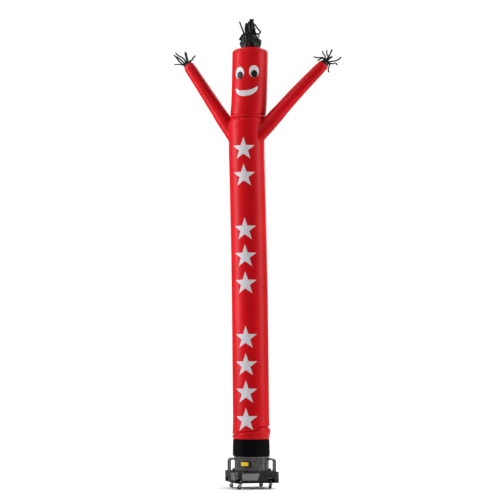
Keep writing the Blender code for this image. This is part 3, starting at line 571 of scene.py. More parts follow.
def guardMetal(name, light):
    # level wires over painted shade, the dark inside seen between them; light scales all their
    # greys, and a low light is painted shade for a guard that lies in shade
    place, _, wire = newLook(name, 0.3)
    x, y, z = place.axes()
    wires = (z.turn(guard["pitch"]) - 0.5).size().over(guard["halfGap"])
    patchy = place.noise(40.0, 3.0)
    deep = (patchy * 0.04).blended(*[(grey * light,) * 3 for grey in guard["space"]])
    shine = patchy.blended(*[(grey * light,) * 3 for grey in guard["shine"]])
    return wire(Base_Color=wires.blended(deep, shine), Roughness=0.42 - wires * 0.10,
                Metallic=wires * 0.6, Normal=(wires * 0.0014).bump(1.0, 1.0))


guardWire = guardMetal("guardWire", 0.86)
# guardShade is the same guard darkened: painted shade for the left guard
guardShade = guardMetal("guardShade", 0.22)
print("materials made")


# A grid of points becomes quads; coordinates are metres across and along the cloth
def gridFaces(rows, coords, wrap, flip=False):
    columns = len(rows[0])
    spans = columns if wrap else columns - 1
    faces, uvs = [], []
    for r in range(len(rows) - 1):
        for c in range(spans):
            corners = ((r, c), (r, c + 1), (r + 1, c + 1), (r + 1, c))
            if flip:
                corners = corners[::-1]
            faces.append([a * columns + b % columns for a, b in corners])
            uvs.extend(coords[a][b] for a, b in corners)
    return [point for row in rows for point in row], faces, uvs


def joined(grids):
    points, faces, uvs = [], [], []
    for newPoints, newFaces, newUvs in grids:
        start = len(points)
        points.extend(newPoints)
        faces.extend([start + index for index in face] for face in newFaces)
        uvs.extend(newUvs)
    return points, faces, uvs


def addPiece(name, grid, look, bodyName=rootBody, thickness=0.0):
    points, faces, uvs = grid
    mesh = bpy.data.meshes.new(name)
    mesh.from_pydata([tuple(p) for p in points], [], faces)
    layer = mesh.uv_layers.new(name="cloth")
    layer.data.foreach_set("uv", [value for uv in uvs for value in uv])
    mesh.update()
    mesh.materials.append(look)
    mesh.shade_smooth()
    mesh.set_sharp_from_angle(angle=math.radians(50.0))
    piece = bpy.data.objects.new(name, mesh)
    bpy.context.scene.collection.objects.link(piece)
    if thickness:
        solid = piece.modifiers.new("thickness", "SOLIDIFY")
        solid.thickness = thickness
        solid.offset = -1.0
    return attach(piece, bodyName)


def ringCoords(sides, girth, heights):
    return [[((c / sides - 0.5) * girth, height) for c in range(sides + 1)] for height in heights]


azimuths = [-180.0 + 360.0 * side / tube["sides"] for side in range(tube["sides"])]


def redTube(name, shape, follows, look, node):
    heights = spaced(*shape["heights"])
    rings = []
    for height in heights:
        follow, growth = curved(shape["rows"], height)
        ring = []
        for azimuth in azimuths:
            level = height + (follow * eased(body["fold"], azimuth) if follows else 0.0)
            ring.append(wallPoint(azimuth, level, redRadius(azimuth, level, growth)))
        rings.append(ring)
    coords = ringCoords(tube["sides"], fullTurn * tube["radius"], heights)
    piece = addPiece(name, gridFaces(rings, coords, True), look,
                     thickness=tube["cloth"])
    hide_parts(node)


redTube("bodyCloth", body, True, bodyNylon, "body_tube")
redTube("headCloth", head, False, headNylon, "head_tube")
print("tube sewn")

# The crown: a ring of cloth gathered in to the hair, as (height, radius)
crown = {
    "rows": ((5.5270, 0.2276), (5.5340, 0.2278), (5.5420, 0.2254), (5.5555, 0.2165),
             (5.5670, 0.1990), (5.5770, 0.1740), (5.5850, 0.1460), (5.5900, 0.1190)),
    "steps": 34,
    "gathers": 30,
    "pucker": (46, 0.0011, 0.014),
    "girth": 1.436,
}


def addCrown():
    rows = [(k, *row) for k, row in enumerate(crown["rows"])]
    last = len(rows) - 1
    rings, lengths = [], []
    along = 0.0
    before = None
    for step in range(crown["steps"] + 1):
        height, radius = curved(rows, last * step / crown["steps"])
        if before:
            along += math.hypot(height - before[0], radius - before[1])
        before = (height, radius)
        share = step / crown["steps"]
        ring = []
        for azimuth in azimuths:
            angle = math.radians(azimuth)
            fold = math.cos(crown["gathers"] * angle + 6.0 * driftRound(2.0, angle, 7.0))
            lift = 0.0022 * fold * share ** 2 * (1.0 - share) * 3.0
            edge = puckerAt(azimuth, along, *crown["pucker"])
            ripple = rippleAt(azimuth, height) * (1.0 - share)
            point = wallPoint(azimuth, height, radius + edge + ripple)
            point.z += lift - 0.0010
            ring.append(point)
        rings.append(ring)
        lengths.append(along)
    grid = gridFaces(rings, ringCoords(tube["sides"], crown["girth"], lengths), True)
    piece = addPiece("crownCloth", grid, crownNylon, thickness=tube["cloth"])
    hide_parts("crown")


addCrown()


# The black sleeve hangs over the drum: soft upright folds, and gathers at its seam and hem
sleeve = {
    "rows": ((0.4030, 0.2292), (0.4150, 0.2310), (0.4400, 0.2324), (0.5000, 0.2318),
             (0.5600, 0.2300), (0.5950, 0.2286), (0.6146, 0.2262)),
    "steps": 56,
    "ripple": 0.0016,
    "folds": 17.0,
    "tuck": (46, 0.0010, 0.016),
    "hem": (38, 0.0007, 0.014),
    "girth": 1.45,
}


def addSleeve():
    rows = sleeve["rows"]
    low, high = rows[0][0], rows[-1][0]
    heights = [low + (high - low) * k / sleeve["steps"] for k in range(sleeve["steps"] + 1)]
    rings = []
    for height in heights:
        radius, = curved(rows, height)
        share = (height - low) / (high - low)
        ring = []
        for azimuth in azimuths:
            angle = math.radians(azimuth)
            fold = math.cos(sleeve["folds"] * angle + 7.0 * driftRound(3.0, angle, 3.0))
            upright = fold * sleeve["ripple"] * 4.0 * share * (1.0 - share)
            soft = driftRound(2.5, angle, height * 16.0)
            tuck = puckerAt(azimuth, high - height, *sleeve["tuck"])
            hem = puckerAt(azimuth, height - low, *sleeve["hem"])
            reach = radius + upright * 0.6 + soft * 0.0016 + tuck + hem
            ring.append(wallPoint(azimuth, height, reach))
        rings.append(ring)
    grid = gridFaces(rings, ringCoords(tube["sides"], sleeve["girth"], heights), True)
    piece = addPiece("sleeveCloth", grid, blackNylon, thickness=tube["cloth"])
    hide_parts("base_sleeve")


addSleeve()


# Arms: cones of cloth sewn on the body's wall
arms = {
    "left": {"root": (-0.286, 4.556), "tip": (-0.829, 5.398), "forward": 0.0, "bow": 0.0},
    "right": {"root": (0.208, 4.572), "tip": (0.930, 5.356), "forward": 0.055, "bow": 0.012},
}
armShape = {
    "rows": ((0.0, 0.0950), (0.16, 0.0945), (0.28, 0.0895), (0.42, 0.0862), (0.58, 0.0825),
             (0.74, 0.0785), (0.88, 0.0760), (0.955, 0.0720), (1.0, 0.0620)),
    "sides": 96,
    "steps": 120,
    "cloth": 0.0012,
    "pucker": 0.0016,
    "ripple": 0.0018,
    "girth": 0.54,
}


def armAxis(arm):
    root = Vector((tube["footX"] + arm["root"][0], -arm["forward"], arm["root"][1]))
    tip = Vector((tube["footX"] + arm["tip"][0], 0.0, arm["tip"][1]))
    along = (tip - root).normalized()
    across = along.cross(Vector((0.0, 1.0, 0.0))).normalized()
    if across.z < 0.0:
        across = -across
    front = along.cross(across)
    if front.y > 0.0:
        front = -front
    return root, tip, along, across, front


def gapToWall(point):
    x = point.x - tube["footX"] - leanAt(point.z)
    azimuth = math.degrees(math.atan2(x, -point.y))
    return math.hypot(x, point.y) - wallRadius(azimuth, point.z)


def addArm(side):
    arm = arms[side]
    root, tip, along, across, front = armAxis(arm)
    reach = (tip - root).length
    sides, steps = armShape["sides"], armShape["steps"]
    key = 1.7 if side == "left" else 8.3
    bowAt = lambda share: across * arm["bow"] * math.sin(math.pi * min(1.0, max(0.0, share)))
    angles = [fullTurn * s / sides for s in range(sides)]
    spokes = [across * math.cos(angle) + front * math.sin(angle) for angle in angles]
    starts = []       # where each side of the cone meets the wall, as a distance from the root
    for spoke in spokes:
        near, far = -0.30, 0.32 * reach
        for _ in range(22):
            middle = (near + far) / 2.0
            radius, = curved(armShape["rows"], max(0.0, middle / reach))
            point = root + along * middle + bowAt(middle / reach) + spoke * radius
            if gapToWall(point) > -armShape["cloth"]:
                far = middle
            else:
                near = middle
        starts.append(far)
    rings, coords = [], []
    for step in range(steps + 1):
        share = (step / steps) ** 1.15
        distances = [start + (reach - start) * share for start in starts]
        ring = []
        for angle, spoke, start, distance in zip(angles, spokes, starts, distances):
            radius, = curved(armShape["rows"], max(0.0, distance / reach))
            fromSeam = distance - start
            fromTip = reach - distance
            x, y = math.cos(angle), math.sin(angle)
            soft = drift(1.6 * x, 1.6 * y, distance * 5.0 + key)
            long = drift(2.6 * x + key, 2.6 * y, distance * 1.6)
            radius += armShape["ripple"] * (0.7 * soft + 0.6 * long)
            uneven = drift(3.0 * x, 3.0 * y, key)
            gather = armShape["pucker"] * math.cos(22.0 * angle + 6.0 * uneven)
            radius += gather * math.exp(-fromSeam / 0.035)
            radius += 0.0026 * math.cos(15.0 * angle + 5.0 * uneven) * math.exp(-fromTip / 0.030)
            radius += 0.0035 * math.exp(-fromSeam / 0.012)
            ring.append(root + along * distance + bowAt(distance / reach) + spoke * radius)
        rings.append(ring)
        coords.append([((s / sides) * armShape["girth"], distances[s % sides])
                       for s in range(sides + 1)])
    flip = (front.cross(along)).dot(across) < 0.0
    piece = addPiece("armCloth" + side.title(), gridFaces(rings, coords, True, flip), armNylon,
                     thickness=armShape["cloth"])
    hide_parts("arm_" + side)
    return [point - along * 0.0004 for point in rings[0]]


armLines = {side: addArm(side) for side in arms}
print("arms sewn")


# A round cord of folded seam allowance, along a closed line
def rollSeam(name, line, radius):
    sides = 10
    count = len(line)
    rings = []
    for k, point in enumerate(line):
        tangent = (line[(k + 1) % count] - line[k - 1]).normalized()
        side = tangent.cross(Vector((0.0, 0.0, 1.0))).normalized()
        up = side.cross(tangent)
        uneven = 1.0 + 0.22 * noise.noise(point * 40.0)
        rings.append([point + (side * math.cos(fullTurn * j / sides)
                               + up * math.sin(fullTurn * j / sides)) * radius * uneven
                      for j in range(sides)])
    rings.append(rings[0])
    coords = [[(0.05 * j / sides, k * 0.004) for j in range(sides + 1)] for k in range(count + 1)]
    piece = addPiece(name, gridFaces(rings, coords, True), headNylon)
    weld = piece.modifiers.new("weld", "WELD")
    weld.merge_threshold = 0.00002


for side, line in armLines.items():
    rollSeam("armSeam" + side.title(), line, 0.0024)
rollSeam("neckSeam", [redWall(azimuth, body["top"] + 0.0002) for azimuth in azimuths], 0.0022)
rollSeam("crownSeam", [redWall(azimuth, head["top"], -0.0006) for azimuth in azimuths], 0.0016)
print("seams rolled")


# Patches of the face, in degrees round the tube and metres
face = {
    "eyes": {"left": (-25.1, 5.238, 0.007), "right": (23.2, 5.251, 0.003)},
    "eyeHalf": (0.0640, 0.0790),
    "pupilHalf": (0.0435, 0.0475),
    "pupilDrop": 0.031,
    "mouth": (-1.4, 4.973),
    "mouthHalf": (0.1530, 0.0368),
    "mouthRise": 0.069,
    "mouthTilt": 0.011,
    "mouthCurve": 2.4,
    "mouthEnds": 0.25,
    "columns": 72,
    "rows": 16,
    "cloth": 0.0007,
    "lift": 0.0011,
    "pupilLift": 0.0029,
}


# Patches of the face lie on the wall; their own coordinates are the place along the edge and
# the distance from it
def wallPatch(name, middle, outline, lift, look, node):
    # outline gives (place, low, high) for a share from 0 to 1
    rows, columns = face["rows"], face["columns"]
    grid, coords = [], []
    for row in range(rows + 1):
        line, coord = [], []
        up = row / rows
        for column in range(columns + 1):
            place, low, high = outline(column / columns)
            level = low + (high - low) * up
            azimuth = middle + math.degrees(place / tube["radius"])
            edge = min(up, 1.0 - up) * (high - low)
            fromEnd = min(column, columns - column) / columns * 2.0
            away = min(edge, 0.04 * fromEnd)
            puff = 0.0011 * (1.0 - math.exp(-away / 0.004))
            line.append(redWall(azimuth, level, lift + puff))
            coord.append((place * 1.4 + level * (0.35 if up > 0.5 else -0.35), away))
        grid.append(line)
        coords.append(coord)
    piece = addPiece(name, gridFaces(grid, coords, False), look,
                     thickness=face["cloth"])
    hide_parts(node)


def oval(middle, height, halfWidth, halfHeight):
    def outline(share):
        angle = math.pi * (0.012 + 0.976 * share)
        half = halfHeight * math.sin(angle)
        return middle - halfWidth * math.cos(angle), height - half, height + half
    return outline


def smile(share):
    across = math.sin(math.pi * 0.497 * (2.0 * share - 1.0))
    middle = (face["mouth"][1] + face["mouthRise"] * abs(across) ** face["mouthCurve"]
              + face["mouthTilt"] * across)
    half = face["mouthHalf"][1] * (1.0 - across * across) ** face["mouthEnds"]
    return face["mouthHalf"][0] * across, middle - half, middle + half


for side, (azimuth, height, shift) in face["eyes"].items():
    wallPatch("eyePatch" + side.title(), azimuth, oval(0.0, height, *face["eyeHalf"]),
              face["lift"], whiteNylon, "eye_" + side)
    wallPatch("pupilPatch" + side.title(), azimuth,
              oval(shift, height - face["pupilDrop"], *face["pupilHalf"]),
              face["pupilLift"], pupilNylon, "pupil_" + side)
wallPatch("mouthPatch", face["mouth"][0], smile, face["lift"], whiteNylon, "mouth")
print("face sewn on")

# Tassels: gathered cloth with streamers. A streamer is its side of the rim, width, depth of its
# end, twist in degrees, and points (right, up) from the rim's middle
tassels = {
    "hair": {
        "nodes": ("hair_collar", "hair"),
        "sides": 16,
        "rows": ((5.5904, 0.1170, 0.001), (5.6220, 0.1250, 0.006), (5.6550, 0.1310, 0.009),
                 (5.6920, 0.1270, 0.011), (5.7240, 0.1100, 0.010), (5.7530, 0.0820, 0.005),
                 (5.7780, 0.0620, 0.0)),
        "offset": 0.006,
        "pleats": 4,
        "pleatTurn": 40.0,
        "streamers": (
            (6, 0.048, -0.042, 12.0, ((-0.038, 0.070), (-0.041, 0.138))),
            (8, 0.058, -0.064, -10.0, ((0.014, 0.090), (0.021, 0.182))),
            (3, 0.019, 0.006, 12.0, ((-0.086, 0.010), (-0.112, 0.066), (-0.150, 0.170))),
            (2, 0.014, 0.028, -30.0, ((-0.076, 0.034), (-0.085, 0.098))),
            (14, 0.050, 0.052, 15.0, ((0.024, 0.050), (0.030, 0.090))),
            (0, 0.050, 0.068, -12.0, ((-0.030, 0.052), (-0.032, 0.112))),
            (10, 0.044, -0.030, 20.0, ((0.036, 0.046), (0.034, 0.106))),
            (12, 0.019, 0.018, 16.0, ((0.100, 0.000), (0.121, 0.027), (0.088, 0.066),
                                      (0.049, 0.130))),
            (11, 0.016, -0.095, 25.0, ((0.084, -0.008), (0.114, -0.034), (0.116, -0.056),
                                       (0.094, -0.062))),
            (4, 0.040, -0.072, 12.0, ((-0.074, -0.004), (-0.108, -0.046), (-0.130, -0.094))),
            (5, 0.030, -0.096, 40.0, ((-0.066, -0.004), (-0.092, -0.038), (-0.100, -0.066),
                                      (-0.080, -0.078))),
            (7, 0.019, -0.076, -25.0, ((-0.012, 0.060), (-0.018, 0.150))),
            (9, 0.017, -0.072, 30.0, ((0.046, 0.070), (0.052, 0.128))),
            (5, 0.016, -0.060, -35.0, ((-0.060, 0.050), (-0.062, 0.116))),
        ),
    },
    "handLeft": {
        "nodes": ("cuff_left", "hand_left"),
        "arm": "left",
        "sides": 12,
        "rows": ((0.0, 0.0600), (0.014, 0.0540), (0.032, 0.0430)),
        "streamers": (
            (5, 0.019, -0.012, 30.0, ((-0.081, 0.018), (-0.123, 0.058), (-0.151, 0.100),
                                      (-0.188, 0.140))),
            (4, 0.018, -0.042, -25.0, ((-0.062, 0.040), (-0.096, 0.072), (-0.152, 0.112))),
            (3, 0.018, -0.050, 28.0, ((-0.052, 0.078), (-0.122, 0.122), (-0.159, 0.158))),
            (8, 0.032, 0.040, -20.0, ((-0.020, 0.060), (-0.037, 0.136), (-0.049, 0.182))),
            (0, 0.018, -0.014, 25.0, ((0.048, 0.064), (0.062, 0.088), (0.098, 0.122))),
            (7, 0.017, 0.050, 30.0, ((-0.060, 0.004), (-0.115, 0.022), (-0.196, 0.026))),
            (1, 0.015, -0.036, -25.0, ((0.033, 0.054),)),
        ),
    },
    "handRight": {
        "nodes": ("cuff_right", "hand_right"),
        "arm": "right",
        "sides": 12,
        "rows": ((0.0, 0.0600), (0.018, 0.0520), (0.048, 0.0380)),
        "streamers": (
            (11, 0.018, 0.030, 25.0, ((-0.018, 0.088), (-0.078, 0.091), (-0.134, 0.105))),
            (1, 0.017, -0.034, -30.0, ((0.021, 0.098), (-0.003, 0.128), (-0.011, 0.170))),
            (10, 0.017, 0.034, 25.0, ((0.050, 0.100), (0.032, 0.142), (0.037, 0.187))),
            (2, 0.021, -0.040, -25.0, ((0.066, 0.086), (0.090, 0.129), (0.111, 0.179))),
            (3, 0.022, -0.052, 20.0, ((0.082, 0.069), (0.119, 0.084))),
            (4, 0.018, -0.030, 30.0, ((0.090, 0.028), (0.140, 0.032), (0.189, 0.048),
                                      (0.225, 0.080))),
            (8, 0.017, 0.024, -25.0, ((0.102, 0.008), (0.146, 0.014), (0.172, -0.014))),
            (6, 0.019, 0.008, 30.0, ((0.072, -0.012), (0.055, -0.064), (0.062, -0.107))),
            (0, 0.018, -0.010, -30.0, ((0.006, 0.076), (-0.040, 0.070), (-0.080, 0.044))),
        ),
    },
}
streamerRoot = 0.010


def ribbonGrid(line, width, twist, salt):
    # a thin strip, cupped across, that twists slowly and frays a little at its end
    rows, coords = [], []
    last = len(line) - 1
    along = 0.0
    for k, point in enumerate(line):
        ahead = (line[min(k + 1, last)] - line[max(k - 1, 0)]).normalized()
        if k:
            along += (point - line[k - 1]).length
        flat = ahead.cross(Vector((0.0, 1.0, 0.0))).normalized()
        normal = ahead.cross(flat).normalized()
        share = k / last
        turn = (math.radians(twist) * math.sin(math.pi * share * 0.9)
                + 0.25 * drift(share * 3.0, salt, 1.0))
        side = flat * math.cos(turn) + normal * math.sin(turn)
        out = normal * math.cos(turn) - flat * math.sin(turn)
        half = (width * 0.57 * (1.0 - 0.18 * share ** 4)
                * (1.0 + 0.06 * drift(share * 7.0, salt, 5.0)))
        row, coord = [], []
        for j in range(7):
            across = j / 3.0 - 1.0
            cup = ((across * across - 0.4) * width * 0.16
                   * math.sin(math.pi * min(1.0, share + 0.08)))
            wave = 0.0010 * drift(across * 1.5, share * 9.0, salt)
            tail = ahead * 0.004 * drift(across * 4.0, salt, 2.0) * share ** 6
            row.append(point + side * half * across + out * (cup + wave) + tail)
            coord.append((across * width / 2.0, along))
        rows.append(row)
        coords.append(coord)
    return gridFaces(rows, coords, False)


def addTassel(key):
    shape = tassels[key]
    fine, steps = 96, 26
    rows = shape["rows"]
    low, high = rows[0][0], rows[-1][0]
    flip = False
    if key == "hair":
        aside = Vector((shape["offset"], 0.0, 0.0))
        origin = Vector((tube["footX"] + leanAt(high) + shape["offset"], 0.0, high))
        pointAt = lambda azimuth, level, radius: wallPoint(azimuth, level, radius) + aside
        angles = [-180.0 + 360.0 * (s - 0.5) / fine for s in range(fine)]
    else:
        _, origin, along, across, front = armAxis(arms[shape["arm"]])
        pointAt = lambda angle, level, radius: (
            origin + along * (level + 0.0004)
            + (across * math.cos(math.radians(angle))
               + front * math.sin(math.radians(angle))) * radius)
        angles = [360.0 * s / fine for s in range(fine)]
        flip = front.cross(along).dot(across) < 0.0
    levels = [low + (high - low) * step / steps for step in range(steps + 1)]
    rings = []
    for step, level in enumerate(levels):
        values = curved(rows, level)
        share = step / steps
        ring = []
        for angle in angles:
            turn = math.radians(angle)
            uneven = drift(2.0 * math.cos(turn), 2.0 * math.sin(turn), level * 9.0)
            radius = values[0]
            if key == "hair":
                radius += values[1] * math.cos(turn * shape["pleats"] + level * shape["pleatTurn"])
                radius += (0.0062 * math.cos(17.0 * turn + 10.0 * uneven + 3.0 * share)
                           * math.sin(math.pi * share) ** 0.7)
            else:
                radius += (0.0022 * math.cos(14.0 * turn + 7.0 * uneven)
                           * math.sin(math.pi * share * 0.5 + 0.5))
            radius += 0.0020 * uneven * math.sin(math.pi * share)
            ring.append(pointAt(angle, level, radius))
        rings.append(ring)
    grids = [gridFaces(rings, ringCoords(fine, 0.45, levels), True, flip)]
    for number, (side, width, depth, twist, path) in enumerate(shape["streamers"]):
        if key == "hair":
            middle = -180.0 + 360.0 * side / shape["sides"]
        else:
            middle = 360.0 * (side + 0.5) / shape["sides"]
        start = pointAt(middle, high, (values[0] - 0.001) * math.cos(math.pi / shape["sides"]))
        stations = []
        for order, (right, up) in enumerate(path, start=1):
            y = start.y + (depth - start.y) * order / len(path)
            stations.append(origin + Vector((right, y, up)))
        outward = (stations[0] - start).normalized()
        stations.insert(0, start - outward * streamerRoot)
        grids.append(ribbonGrid(traced(stations, 9), width, twist, 3.1 * number + len(key)))
    piece = addPiece(key + "Cloth", joined(grids), streamerNylon,
                     thickness=0.0007)
    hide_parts(*shape["nodes"])


for key in tassels:
    addTassel(key)
print("tassels tied")


# Details of the blower. Azimuths are from the figure's front, screws in the housing's directions.
seams = {
    "azimuths": (47.0, 68.5, -62.0, 160.0, -140.0),
    "halfAngle": 1.55,
    "low": 0.2165,
    "high": 0.3765,
    "lift": 0.0016,
    "rivets": [0.230 + 0.0265 * k for k in range(6)],      # their heights
}
hatch = {"azimuth": 58.0, "height": 0.302, "width": 0.020, "tall": 0.026, "lift": 0.0018}
screws = {
    "deck": ((0.018, 0.018), (0.090, 0.016), (0.016, 0.090)),      # in from a corner
    "side": ((-0.2625, 0.198), (0.2625, 0.198), (-0.2625, 0.142), (0.2625, 0.142), (0.0, 0.207)),
}
baseMatrix = (Matrix.Translation((tube["footX"], 0.0, 0.0))
              @ Matrix.Rotation(math.radians(blower["turn"]), 4, "Z"))


def drumFace(azimuth, height, lift):
    # a point on the drum's flat-sided wall
    angle = math.radians(azimuth)
    own = math.atan2(-math.cos(angle), math.sin(angle)) - math.radians(blower["turn"])
    sector = fullTurn / blower["drumSides"]
    bent = (own % sector) - sector / 2.0
    radius = blower["drumRadius"] * math.cos(sector / 2.0) / math.cos(bent) + lift
    return Vector((tube["footX"] + radius * math.sin(angle), -radius * math.cos(angle), height))


def drumBand(name, azimuth, halfAngle, low, high, lift, look):
    rows, columns = 8, 12
    grid, coords = [], []
    for row in range(rows + 1):
        up = row / rows
        line, coord = [], []
        for column in range(columns + 1):
            across = 2.0 * column / columns - 1.0
            edge = min(min(up, 1.0 - up) * (high - low),
                       (1.0 - abs(across)) * math.radians(halfAngle) * 0.22)
            raised = lift * (1.0 - math.exp(-edge / 0.0012))
            level = low + (high - low) * up
            line.append(drumFace(azimuth + across * halfAngle, level, 0.0002 + raised))
            coord.append((across * halfAngle * 0.004, level))
        grid.append(line)
        coords.append(coord)
    addPiece(name, gridFaces(grid, coords, False), look, thickness=-0.0012)


def lathed(profile, sides, matrix):
    # a round piece: profile is (radius, height) from one end of its axis to the other
    turns = [(math.cos(fullTurn * k / sides), math.sin(fullTurn * k / sides)) for k in range(sides)]
    rings = [[matrix @ Vector((radius * x, radius * y, height)) for x, y in turns]
             for radius, height in profile]
    along = 0.0
    coords = []
    for k, (radius, height) in enumerate(profile):
        if k:
            along += math.hypot(radius - profile[k - 1][0], height - profile[k - 1][1])
        coords.append([(radius * fullTurn * c / sides, along) for c in range(sides + 1)])
    points, faces, uvs = gridFaces(rings, coords, True)
    for ring in (list(range(sides))[::-1], list(range(len(points) - sides, len(points)))):
        if (points[ring[0]] - points[ring[sides // 2]]).length > 1e-5:
            faces.append(ring)
            uvs += [(0.0, 0.0)] * sides
    return points, faces, uvs


def domeHead(radius, height):
    return [(0.0, height)] + [(radius * math.sin(a), height * math.cos(a))
                              for a in (0.4, 0.8, 1.1, 1.35, 1.5708)] + [(radius, -0.0006)]


def facing(point, normal):
    return Matrix.Translation(point) @ normal.to_track_quat("Z", "Y").to_matrix().to_4x4()


def addRivets(name, places, radius, height, look, bodyName=rootBody):
    grids = [lathed(domeHead(radius, height)[::-1], 14, facing(point, normal))
             for point, normal in places]
    return addPiece(name, joined(grids), look, bodyName)


for number, azimuth in enumerate(seams["azimuths"]):
    drumBand(f"drumSeam{number}", azimuth, seams["halfAngle"], seams["low"], seams["high"],
             seams["lift"], drumPaint)
rivetPlaces = []
for azimuth in seams["azimuths"]:
    angle = math.radians(azimuth)
    outward = Vector((math.sin(angle), -math.cos(angle), 0.0))
    rivetPlaces += [(drumFace(azimuth, height, 0.0026), outward) for height in seams["rivets"]]
addRivets("drumRivets", rivetPlaces, 0.0034, 0.0018, railMetal)
drumBand("drumHatch", hatch["azimuth"], math.degrees(hatch["width"] / 2.0 / blower["drumRadius"]),
         hatch["height"] - hatch["tall"] / 2.0, hatch["height"] + hatch["tall"] / 2.0,
         hatch["lift"], rubberBlack)

# Screws of the housing
deckPlaces = []
for x, y in ((-1, -1), (1, -1), (1, 1), (-1, 1)):
    for nearX, nearY in screws["deck"]:
        point = baseMatrix @ Vector((x * (blower["half"] - nearX), y * (blower["half"] - nearY),
                                     blower["deck"]))
        deckPlaces.append((point, Vector((0.0, 0.0, 1.0))))
addRivets("deckScrews", deckPlaces, 0.0055, 0.0022, zincMetal)
sidePlaces = []
for quarter in range(4):
    spin = baseMatrix @ Matrix.Rotation(quarter * math.pi / 2.0, 4, "Z")
    normal = (spin.to_3x3() @ Vector((0.0, -1.0, 0.0))).normalized()
    sidePlaces += [(spin @ Vector((across, -blower["half"], up)), normal)
                   for across, up in screws["side"]]
addRivets("sideRivets", sidePlaces, 0.0036, 0.0016, zincMetal)
print("blower detailed")

# Casters: each wheel turns on its own body. Here is the way each one trails, in degrees.
casters = {
    "front_left": -160.0,
    "front_right": 140.0,
    "back_left": 176.0,
    "back_right": 172.0,
}
# Profiles of a wheel: radius and height along its axle
wheel = {
    "tyre": ((0.0190, -0.0072), (0.0212, -0.0086), (0.0235, -0.0078), (0.0256, -0.0058),
             (0.0266, -0.0030), (0.0270, 0.0), (0.0266, 0.0030), (0.0256, 0.0058),
             (0.0235, 0.0078), (0.0212, 0.0086), (0.0190, 0.0072)),
    "hub": ((0.0050, -0.0100), (0.0112, -0.0100), (0.0122, -0.0094), (0.0128, -0.0066),
            (0.0180, -0.0058), (0.0192, -0.0066), (0.0194, 0.0066), (0.0180, 0.0058),
            (0.0128, 0.0066), (0.0122, 0.0094), (0.0112, 0.0100), (0.0050, 0.0100)),
    "axleEnd": 0.0155,
    "sides": 48,
}
for corner, trail in casters.items():
    low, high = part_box("wheel_" + corner)
    middle = (low + high) / 2.0
    angle = math.radians(trail)
    axle = Vector((-math.sin(angle), math.cos(angle), 0.0))
    place = facing(middle, axle)
    label = "".join(word.title() for word in corner.split("_"))
    radius = (high.z - low.z) / 2.0
    tyre = [(min(r, radius), h) for r, h in wheel["tyre"]]
    hub = list(wheel["hub"])
    for name, profile, look in (("tyre", tyre, rubberBlack), ("hub", hub, hubPlastic)):
        piece = addPiece(name + label, lathed(profile + [wheel[name][0]], wheel["sides"], place),
                         look, "roller_" + corner)
        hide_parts("wheel_" + corner)
    ends = [lathed(domeHead(0.0052, 0.0024)[::-1], 6,
                   facing(middle + axle * sign * wheel["axleEnd"], axle * sign))
            for sign in (-1.0, 1.0)]
    addPiece("axleNuts" + label, joined(ends), zincMetal, "swivel_" + corner)
print("wheels mounted")

# Rating plate: dark, with thin light lines and a plain yellow block
plate = {
    "azimuth": -13.7,
    "halfWidth": 0.088,
    "ground": ((0.0025, 0.0035, 0.0085), (0.0060, 0.0075, 0.0160)),
    "line": (0.07, 0.07, 0.075),
    "yellow": ((0.62, 0.40, 0.010), (0.80, 0.56, 0.020)),
    "block": (-0.004, 0.002, 0.044, 0.018, 0.006),    # middle, half sizes, corner radius
}


def plateLook():
    place, _, wire = newLook("plateLook", 0.22)
    low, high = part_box("rating_plate")
    x, y, z = place.axes()
    angle = x.maths("ARCTAN2", x - tube["footX"], y * -1.0)
    across = (angle - math.radians(plate["azimuth"])) * blower["drumRadius"]
    up = z - (low.z + high.z) / 2.0
    halfZ = (high.z - low.z) / 2.0
    border = ((up.size() - (halfZ - 0.005)).size().under(0.0009)
              * across.size().under(plate["halfWidth"] - 0.004))
    middleX, middleZ, blockX, blockZ, corner = plate["block"]
    cornerX = ((across - middleX).size() - blockX).most(0.0)
    cornerZ = ((up - middleZ).size() - blockZ).most(0.0)
    block = (cornerX * cornerX + cornerZ * cornerZ).under(corner ** 2)
    worn = place.noise(90.0, 3.0)
    colour = border.blended(worn.blended(*plate["ground"]), plate["line"])
    colour = block.blended(colour, worn.blended(*plate["yellow"]))
    return wire(Base_Color=colour, Roughness=0.30 + worn * 0.18,
                Normal=((block + border) * 0.0002 + worn * 0.0001).bump(1.0, 1.0))


# The drum: satin metal with upright brushing, and a paler band under the sleeve that is a painted
# highlight of its rolled rim
def drumLook():
    place, _, wire = newLook("drumLook", 0.5)
    x, y, z = place.axes()
    patchy = place.noise(11.0, 4.0, 0.6)
    brushed = place.stretched(1.0, 1.0, 0.06).noise(220.0, 3.0, 0.6)
    cells = place.noise(150.0, 3.0, 0.7)
    tone = (patchy * 0.6 + brushed * 0.4).clamped(0.32, 0.68)
    base = tone.blended((0.040, 0.039, 0.038), (0.155, 0.151, 0.145))
    grime = z.clamped(0.30, 0.21) * patchy
    colour = grime.blended(base, (0.050, 0.048, 0.045))
    # painted highlight: a paler band where the rolled rim catches the light
    colour = z.near(0.3880, 0.0115).blended(colour, (0.14, 0.137, 0.133))
    return wire(Base_Color=colour, Roughness=0.12 + patchy * 0.12, Metallic=0.90 + patchy * 0.04,
                Normal=(cells * 0.0003 + brushed * 0.0002).bump(1.0, 1.0))


def dress(look, *names):
    for name in names:
        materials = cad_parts[name].data.materials
        materials.clear()
        materials.append(look)


